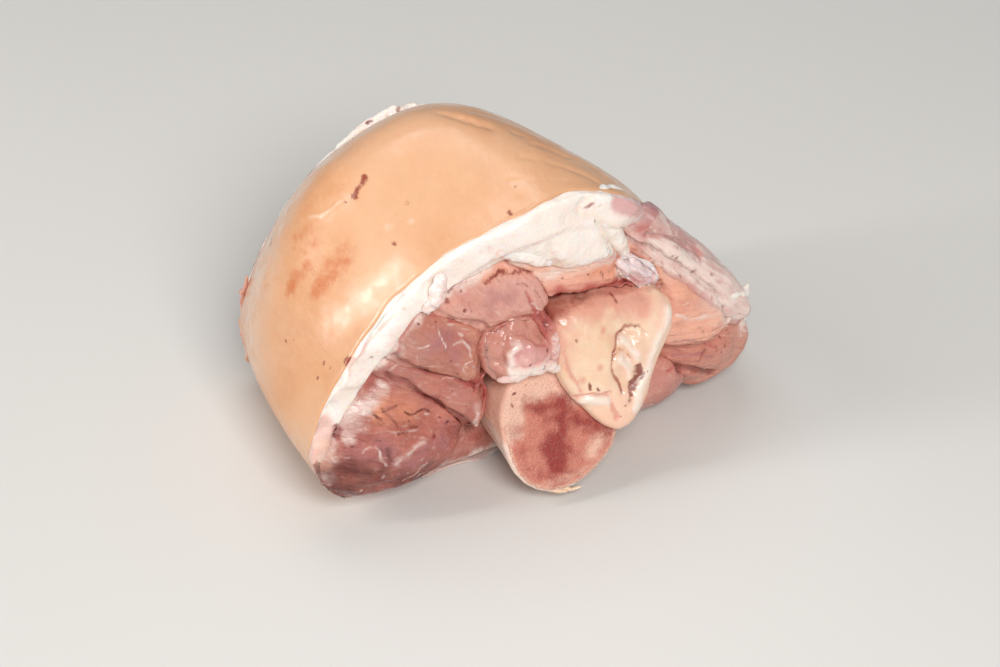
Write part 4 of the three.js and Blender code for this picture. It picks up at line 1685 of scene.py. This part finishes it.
@dataclass
class FatLayer(Flesh):
    """The fat under the rind. It fills the skin's thinning edge, and bulges ahead of it at the near cut."""

    OUTER = (-8.0, -4.0)  # in from the skin, where the fat starts to follow it and where it does so fully
    FRONT = (-13.0, -9.0)  # the same for the bulge of its front face
    DEEP = 11.0  # how far in from the skin that bulge goes
    BESIDE = (-14.0, -6.0)  # ahead of the skin's near edge, where the fat starts to follow it and does so fully
    THINNING = (-12.0, -1.0)  # where the skin thins, and the fat fills its place
    PAST = (-1.5, 0.5)  # where the fat starts to bulge past that edge, and bulges fully
    FAR_BESIDE = (-3.0, 0.0)  # the same as beside, at the far edge
    FAR_PAST = (-0.5, 0.8)  # the same as past, at the far edge
    HIGH = (-20.0, 0.0)  # how high up the front face bulges
    GAP = 0.3  # between the fat and the skin

    rind: "Rind" = field(default_factory=lambda: Rind())
    bulge: float = 1.6

    def shape(self, places: np.ndarray) -> np.ndarray:
        """Fits the fat to the skin.

        Args:
            places: the vertices as u, v and w.

        Returns:
            Their new places.
        """
        middle = np.array(self.rind.middle)
        out = places[:, :2] - middle
        angle = np.arctan2(out[:, 1], out[:, 0]) % math.tau
        reach = np.linalg.norm(out, axis=1)
        skin = self.rind.radius(angle, places[:, 2])
        ahead = places[:, 2] - np.interp(angle, self.rind.angle, self.rind.near, period=math.tau)
        outer = eased(reach - skin, *self.OUTER)
        lumps = Lumps(21).at(places, 6.0, 2)
        past = eased(ahead, *self.PAST)
        wanted = skin - self.rind.thickness - self.GAP + eased(ahead, *self.THINNING) * 1.2
        wanted += past * (1.5 + 0.5 * lumps)
        top = skin - 1.3 + past * 1.2
        behind = places[:, 2] - np.interp(angle, self.rind.angle, self.rind.far, period=math.tau)
        lip = eased(-behind, *self.FAR_PAST)
        wanted = wanted + lip * (1.4 + 0.7 * lumps)
        share = np.maximum(past, eased(ahead, *self.BESIDE)) + eased(-behind, *self.FAR_BESIDE)
        moved = reach + outer * (wanted - reach) * share.clip(0, 1)
        moved = np.minimum(moved, top + lip * 1.2)
        fitted = places.copy()
        fitted[:, :2] = middle + out * (moved / np.maximum(reach, 1e-6))[:, None]
        high = eased(places[:, 1], *self.HIGH)
        depth = np.clip((skin - reach) / self.DEEP, 0, 1)
        dome = np.sqrt(1 - (1 - depth) ** 2) * self.bulge * 2 - self.bulge
        fitted[:, 2] += eased(reach - skin, *self.FRONT) * past * high * (dome + 0.4 * lumps)
        return fitted


@dataclass(frozen=True)
class Shred:
    """A small torn shred that its node is too plain to show: flattened beads along a path, drawn into one form."""

    STEP = 0.4  # how far apart the beads are, against the smaller one's radius
    GROWTH = 0.3  # how far the form is swollen, as smoothing shrinks it

    name: str
    tissue: Tissue
    finish: Finish
    path: Path
    thin: Point = (1.0, 1.0, 1.0)
    voxel: float = 0.3
    lump: float = 0.35
    smoothing: int = 4
    marks: tuple[Mark, ...] = ()

    def build(self, leg: LegFrame) -> bpy.types.Object:
        """Makes the shred.

        Args:
            leg: the leg's frame.

        Returns:
            The finished object.
        """
        bm = bmesh.new()
        knots = np.array(self.path, dtype=float)
        for start, end in zip(knots, knots[1:]):
            length = float(np.linalg.norm(end[:3] - start[:3]))
            count = max(2, math.ceil(length / (self.STEP * min(start[3], end[3]))))
            for share in np.linspace(0, 1, count):
                at = start + (end - start) * share
                ball = bmesh.ops.create_icosphere(bm, subdivisions=2, radius=float(at[3]))["verts"]
                bmesh.ops.scale(bm, vec=self.thin, verts=ball)
                bmesh.ops.translate(bm, vec=at[:3], verts=ball)
        mesh = evened(meshed(bm, self.name), self.voxel, self.smoothing)
        places, normals = points_of(mesh), normals_of(mesh)
        places = places + normals * (self.lump * Lumps(41).at(places, 4.0, 3) + self.GROWTH)[:, None]
        paint(mesh, places, self.marks, {})
        place(mesh, np.clip(leg.to_row(places), *limits()))
        return piece(self.name, mesh)


class Solids:
    """The plain solids of all the flesh, for finding what each piece lies against."""

    def __init__(self, nodes: Mapping[str, bpy.types.Object], leg: LegFrame) -> None:
        """Keeps each solid's places and faces in the leg's frame.

        Args:
            nodes: the nodes by name.
            leg: the leg's frame.
        """
        self.parts: dict[str, tuple[np.ndarray, list[list[int]]]] = {}
        for name, node in nodes.items():
            self.parts[name] = plain(node, leg)
        self.fat = self.tree(["fat_layer"])
        bony = ("rind", "sawn_bone", "shank_bone", "joint_cartilage", "tendon", "under_muscle")
        self.relief = Relief(self.tree([name for name in self.parts if name not in bony]))

    def tree(self, names: Iterable[str]) -> BVHTree:
        """A search tree over some of the solids.

        Args:
            names: their nodes' names.

        Returns:
            The tree, in the leg's frame.
        """
        places: list[Vector] = []
        faces: list[list[int]] = []
        for name in names:
            some, them = self.parts[name]
            faces += [[i + len(places) for i in face] for face in them]
            places += [Vector(p) for p in some]
        return BVHTree.FromPolygons(places, faces)

    def without(self, name: str) -> BVHTree:
        """A search tree over a piece's neighbours."""
        return self.tree([other for other in self.parts if other not in (name, "rind")])


# ---------------------------------------------------------------- the stage
@dataclass(frozen=True)
class SoftLight:
    """A rectangular soft light aimed at the hock."""

    name: str
    place: Point
    size: tuple[float, float]
    power: float
    colour: Point = (1.0, 1.0, 1.0)

    def build(self, aim: Vector) -> None:
        """Hangs the light.

        Args:
            aim: what it is turned towards.
        """
        data = bpy.data.lights.new(self.name, "AREA")
        data.shape = "RECTANGLE"
        data.size, data.size_y = self.size
        data.energy = self.power
        data.color = self.colour
        lamp = put(self.name, data)
        lamp.location = self.place
        lamp.rotation_euler = (aim - lamp.location).to_track_quat("-Z", "Y").to_euler()


@dataclass(frozen=True)
class Studio:
    """A pale floor, soft lights and the camera."""

    FLOOR_SIZE = 4.0
    FLOOR_DROP = 0.0002  # how far the floor lies below the hock

    aim: Point = (0.0019, -0.0228, 0.0485)
    elevation: float = 40.0
    distance: float = 0.983
    lit_height: float = 0.05
    lens: float = 110.0
    ambient: float = 0.24
    lights: tuple[SoftLight, ...] = (
        SoftLight("left", (-0.9, -0.215, 0.56), (0.12, 0.84), 4.5, (1.0, 0.99, 0.97)),
        SoftLight("front", (0.22, -0.8, 0.85), (0.5, 0.4), 9.7, (1.0, 0.99, 0.98)),
        SoftLight("top", (-0.15, 0.35, 1.05), (0.7, 0.5), 2.2),
    )

    def build(self) -> None:
        """Makes the stage."""
        scene = bpy.context.scene
        aim = Vector(self.aim)
        tilt = math.radians(self.elevation)
        data = bpy.data.cameras.new("camera")
        data.lens, data.sensor_width = self.lens, 36.0
        data.clip_end = 10.0
        camera = put("camera", data)
        back = Vector((0.0, -math.cos(tilt), math.sin(tilt)))
        camera.location = aim + back * self.distance
        camera.rotation_euler = (-back).to_track_quat("-Z", "Y").to_euler()
        scene.camera = camera
        for light in self.lights:
            light.build(Vector((0.0, 0.0, self.lit_height)))
        world = bpy.data.worlds.new("room")
        world.use_nodes = True
        world.node_tree.nodes["Background"].inputs["Color"].default_value = (1.0, 1.0, 1.0, 1.0)
        world.node_tree.nodes["Background"].inputs["Strength"].default_value = self.ambient
        scene.world = world
        scene.view_settings.view_transform = "Standard"
        self.floor()

    def floor(self) -> None:
        """Lays the floor, just below the hock."""
        bm = bmesh.new()
        bmesh.ops.create_grid(bm, x_segments=1, y_segments=1, size=self.FLOOR_SIZE)
        mesh = meshed(bm, "floor")
        floor = put("floor", mesh)
        floor.location.z = -self.FLOOR_DROP
        material = bpy.data.materials.new("floor")
        material.use_nodes = True
        w = Wiring(material.node_tree)
        shader = material.node_tree.nodes["Principled BSDF"]
        cloudy = w.noise(w.add("ShaderNodeTexCoord").outputs["Object"], 3.0, 3.0)
        w.tree.links.new(w.mix(cloudy, tone(214, 212, 208), tone(222, 220, 216)), shader.inputs["Base Color"])
        shader.inputs["Roughness"].default_value = 0.7
        mesh.materials.append(material)
        floor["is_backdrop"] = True


# ---------------------------------------------------------------- the hock
def muscle(node: str, light: Colour, dark: Colour, third: Colour, grain: Point, seed: int, **changes: float) -> Flesh:
    """A muscle with its own tones and grain.

    Args:
        node: the muscle's node.
        light: the lighter tone.
        dark: the darker tone.
        third: the tone of its soft patches.
        grain: the direction that its fibres run in.
        seed: the seed for its lumps and threads.
        changes: other fields of Flesh.

    Returns:
        The muscle, ready to build.
    """
    layers = DARK_AND_SHADED_LAYERS if node == "lower_left_muscle" else MEAT_LAYERS
    finish = Finish(
        f"{node}_meat", light, dark, third, layers, grain=grain, fleck=0.3, grain_scale=700.0, bump=0.4,
        dimple=0.4, coat=0.45, coat_roughness=0.14,
    )
    tissue = Tissue.FASCIA_MUSCLE if node == "flank_muscle" else Tissue.MUSCLE
    kept = {"voxel": 0.6, "level": 0.9, "lump": 0.55, "lump_size": 8.0} | changes
    marks = (*CUT_MARKS, *threads(grain, seed))
    return Flesh(node, tissue, finish, seed=seed, recess=0.4 + 0.37 * seed % 0.9, marks=marks, **kept)


FLESH: tuple[Flesh, ...] = (
    SawnBone(
        "sawn_bone", Tissue.MARROW_BONE, MARROW, voxel=0.5, smoothing=4, swell=0.1, lump=0.25, fibre=0.0,
        recess=0.0, seed=3, marks=SAWN_MARKS,
    ),
    ShankBone(
        "shank_bone", Tissue.BONE, BONE, voxel=0.6, smoothing=10, swell=0.3, lump=0.35, lump_size=9.0, fibre=0.05,
        recess=0.0, seed=4, marks=BONE_MARKS,
    ),
    Flesh(
        "joint_cartilage", Tissue.GRISTLE, GRISTLE, voxel=0.5, smoothing=10, swell=1.1, lump=1.1, lump_size=5.0,
        fibre=0.1, seed=5, level=0.5, marks=GRISTLE_MARKS,
    ),
    Flesh(
        "tendon", Tissue.GRISTLE, TENDON, voxel=0.4, smoothing=8, swell=-0.7, lump=1.0, lump_size=4.0, fibre=0.0,
        seed=6, level=0.7,
    ),
    muscle("lower_left_muscle", tone(206, 128, 108), tone(158, 78, 68), tone(186, 116, 108), (0.9, -0.35, 0.2), 7),
    muscle("wedge_muscle", tone(210, 140, 120), tone(174, 98, 88), tone(196, 134, 124), (0.8, -0.6, 0.0), 8),
    muscle("middle_muscle", tone(214, 146, 122), tone(182, 110, 94), tone(190, 140, 130), (0.7, -0.6, 0.3), 9),
    muscle("right_muscle", tone(222, 154, 132), tone(188, 112, 98), tone(214, 156, 138), (0.95, -0.2, 0.2), 10),
    muscle(
        "under_muscle", tone(216, 150, 134), tone(190, 120, 108), tone(212, 156, 144), (0.6, -0.6, 0.4), 12,
        voxel=0.9, smoothing=9, level=0.0,
    ),
    muscle(
        "flank_muscle", tone(230, 184, 174), tone(208, 146, 138), tone(236, 206, 196), (0.7, -0.7, 0.1), 13,
        voxel=0.7,
    ),
    muscle("upper_muscle", tone(234, 178, 160), tone(206, 136, 122), tone(226, 172, 160), (0.6, -0.6, 0.4), 14),
    muscle(
        "band_muscle", tone(246, 186, 160), tone(222, 144, 124), tone(242, 198, 180), (0.95, -0.2, 0.0), 15,
        voxel=0.75, smoothing=9,
    ),
    Flesh(
        "connective_tissue", Tissue.CONNECTIVE,
        Finish("connective", tone(214, 150, 134), tone(168, 88, 78), tone(230, 190, 176), MEAT_LAYERS, fleck=0.4),
        voxel=0.9, smoothing=6, swell=0.3, recess=1.4, seed=16, level=0.5,
    ),
)


SHREDS: tuple[Shred, ...] = (
    Shred(
        "skin_end_fat", Tissue.FAT, FAT,
        ((26, 57, -1, 1.8), (30, 56.2, -3, 2.2), (35, 52.8, -5, 2.3), (39, 49, -5, 2.2), (42, 46, -4, 1.6)),
        voxel=0.4, lump=0.3, smoothing=14,
    ),
    Shred(
        "pad_edge_fat", Tissue.FAT, FAT,
        ((26, 53, 0, 2.2), (30, 47, 0, 3.4), (32, 42, -0.5, 3.6), (35, 36, -1, 3.0), (38, 30, -2, 2.0)),
        thin=(1.0, 1.0, 0.9), voxel=0.45, lump=0.4, smoothing=16, marks=FAT_MARKS,
    ),
    Shred(
        "gland", Tissue.FAT, GLAND,
        ((-29, 46, 3.2, 1.7), (-30.5, 43, 4.2, 2.3), (-32, 39.5, 4.6, 2.6), (-34, 36.5, 4, 1.8)), voxel=0.35,
        lump=0.9, smoothing=6, marks=GLAND_MARKS,
    ),
    Shred(
        "pad_lobe_left", Tissue.FAT, FAT,
        ((-5, 47.5, 2, 2.6), (1, 44.5, 2.2, 3.0), (6, 41, 2.4, 2.4), (9.5, 38, 2.4, 1.1)), thin=(1.0, 1.0, 0.6),
        voxel=0.4, lump=0.6, smoothing=14,
    ),
    Shred(
        "pad_lobe_right", Tissue.FAT, FAT,
        ((12, 42, 3, 2.4), (16, 38.5, 3, 2.6), (22, 36.5, 3, 2.4), (28, 37, 3, 2.0)), thin=(1.0, 1.0, 0.6),
        voxel=0.4, lump=0.6, smoothing=14,
    ),
    Shred(
        "sawn_rim", Tissue.GRISTLE, GRISTLE,
        (
            (-13, 5, 11, 0.8), (-10, 5.5, 12.5, 1.6), (-6, 6, 13.2, 2.2), (-1, 6.8, 13.3, 2.5),
            (4.5, 5.5, 12.8, 2.4), (8, 2, 12, 1.8), (9.5, -2, 11.2, 0.8),
        ),
        thin=(1.0, 0.9, 0.6), voxel=0.4, lump=0.8, smoothing=18, marks=RIM_MARKS,
    ),
    Shred(
        "tendon_end", Tissue.GRISTLE, TENDON, ((34.5, 29, 1, 1.0), (36.5, 26.5, 1.8, 1.3), (37.5, 23.5, 1.6, 0.8)),
        voxel=0.3, lump=0.6, smoothing=6,
    ),
    Shred(
        "joint_flesh", Tissue.CONNECTIVE, JOINT,
        ((4, 21, 3, 2.0), (6, 17, 6, 2.2), (7.5, 12, 8, 2.2), (7, 7, 10, 2.0), (7, 3, 11, 1.4)), voxel=0.35,
        lump=0.5, smoothing=8, marks=JOINT_MARKS,
    ),
    Shred(
        "torn_tip", Tissue.CONNECTIVE, FAT,
        ((77, 0, 1.5, 1.4), (80.5, -2, 0.5, 2.0), (83.5, -3.5, -1.5, 1.8), (86, -2, -3.5, 0.8)),
        thin=(1.0, 1.0, 0.5), lump=0.4, smoothing=8,
    ),
    Shred(
        "torn_side", Tissue.CONNECTIVE, FAT,
        ((84, -4, -2, 1.0), (85.5, -9, -3, 1.0), (86, -15, -4, 0.9), (85.5, -21, -5, 0.6)), thin=(0.6, 1.0, 1.0),
        lump=0.3,
    ),
    Shred(
        "bone_splinter_left", Tissue.BONE, BONE, ((-3, -35, 24, 0.6), (1, -36.5, 25.5, 0.7), (4, -37.5, 26, 0.4)),
        thin=(1.0, 0.5, 1.0), lump=0.25, voxel=0.2,
    ),
    Shred(
        "bone_splinter_right", Tissue.BONE, BONE, ((3, -36, 25, 0.6), (6, -38, 25.5, 0.6), (9, -37.5, 26, 0.4)),
        thin=(1.0, 0.5, 1.0), lump=0.25, voxel=0.2,
    ),
    Shred(
        "far_edge_fat", Tissue.FAT, FAT,
        (
            (-30, 42.5, -75.5, 1.0), (-23, 47, -75.5, 1.9), (-16, 49.3, -75.5, 2.5), (-9, 50.5, -75.5, 2.6),
            (-2, 50.8, -75.5, 2.0), (5, 49.5, -75.5, 1.0),
        ),
        voxel=0.4, lump=0.6, smoothing=14, marks=FAR_MARKS,
    ),
    Shred(
        "far_edge_rim", Tissue.CONNECTIVE, TORN,
        (
            (-63.8, 3, -74.5, 0.5), (-65.4, -4, -75, 1.1), (-66.2, -11, -75, 1.2), (-66.1, -19, -75, 1.0),
            (-66, -26, -74.5, 1.0), (-65.6, -33, -74.5, 0.5),
        ),
        thin=(0.7, 1.0, 1.0), voxel=0.3, lump=1.0, smoothing=5, marks=FAR_MARKS,
    ),
)


def main() -> None:
    """Builds the hock piece by piece, dresses it and sets the stage."""
    logging.basicConfig(level=logging.INFO, format="%(message)s")
    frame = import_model()
    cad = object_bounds()
    CAD_BOX[:] = [np.array(cad[0]), np.array(cad[1])]
    nodes = frame["nodes"]
    leg = LegFrame.of(nodes["rind"])
    effects = Effects()
    Studio().build()
    rind = Rind()
    rind.finish.dress(rind.build(nodes["rind"], leg), effects, leg)
    solids = Solids(nodes, leg)
    fat = FatLayer(
        "fat_layer", Tissue.FAT, FAT, voxel=0.95, smoothing=6, swell=0.4, lump=0.7, lump_size=9.0,
        fibre=0.1, recess=0.15, seed=2, level=0.9, marks=(*CUT_MARKS, *FAT_MARKS), rind=rind,
    )
    for flesh in (fat, *FLESH):
        flesh.finish.dress(flesh.build(nodes, leg, solids), effects, leg)
    for shred in SHREDS:
        shred.finish.dress(shred.build(leg), effects, leg)


if __name__ == "__main__":
    main()
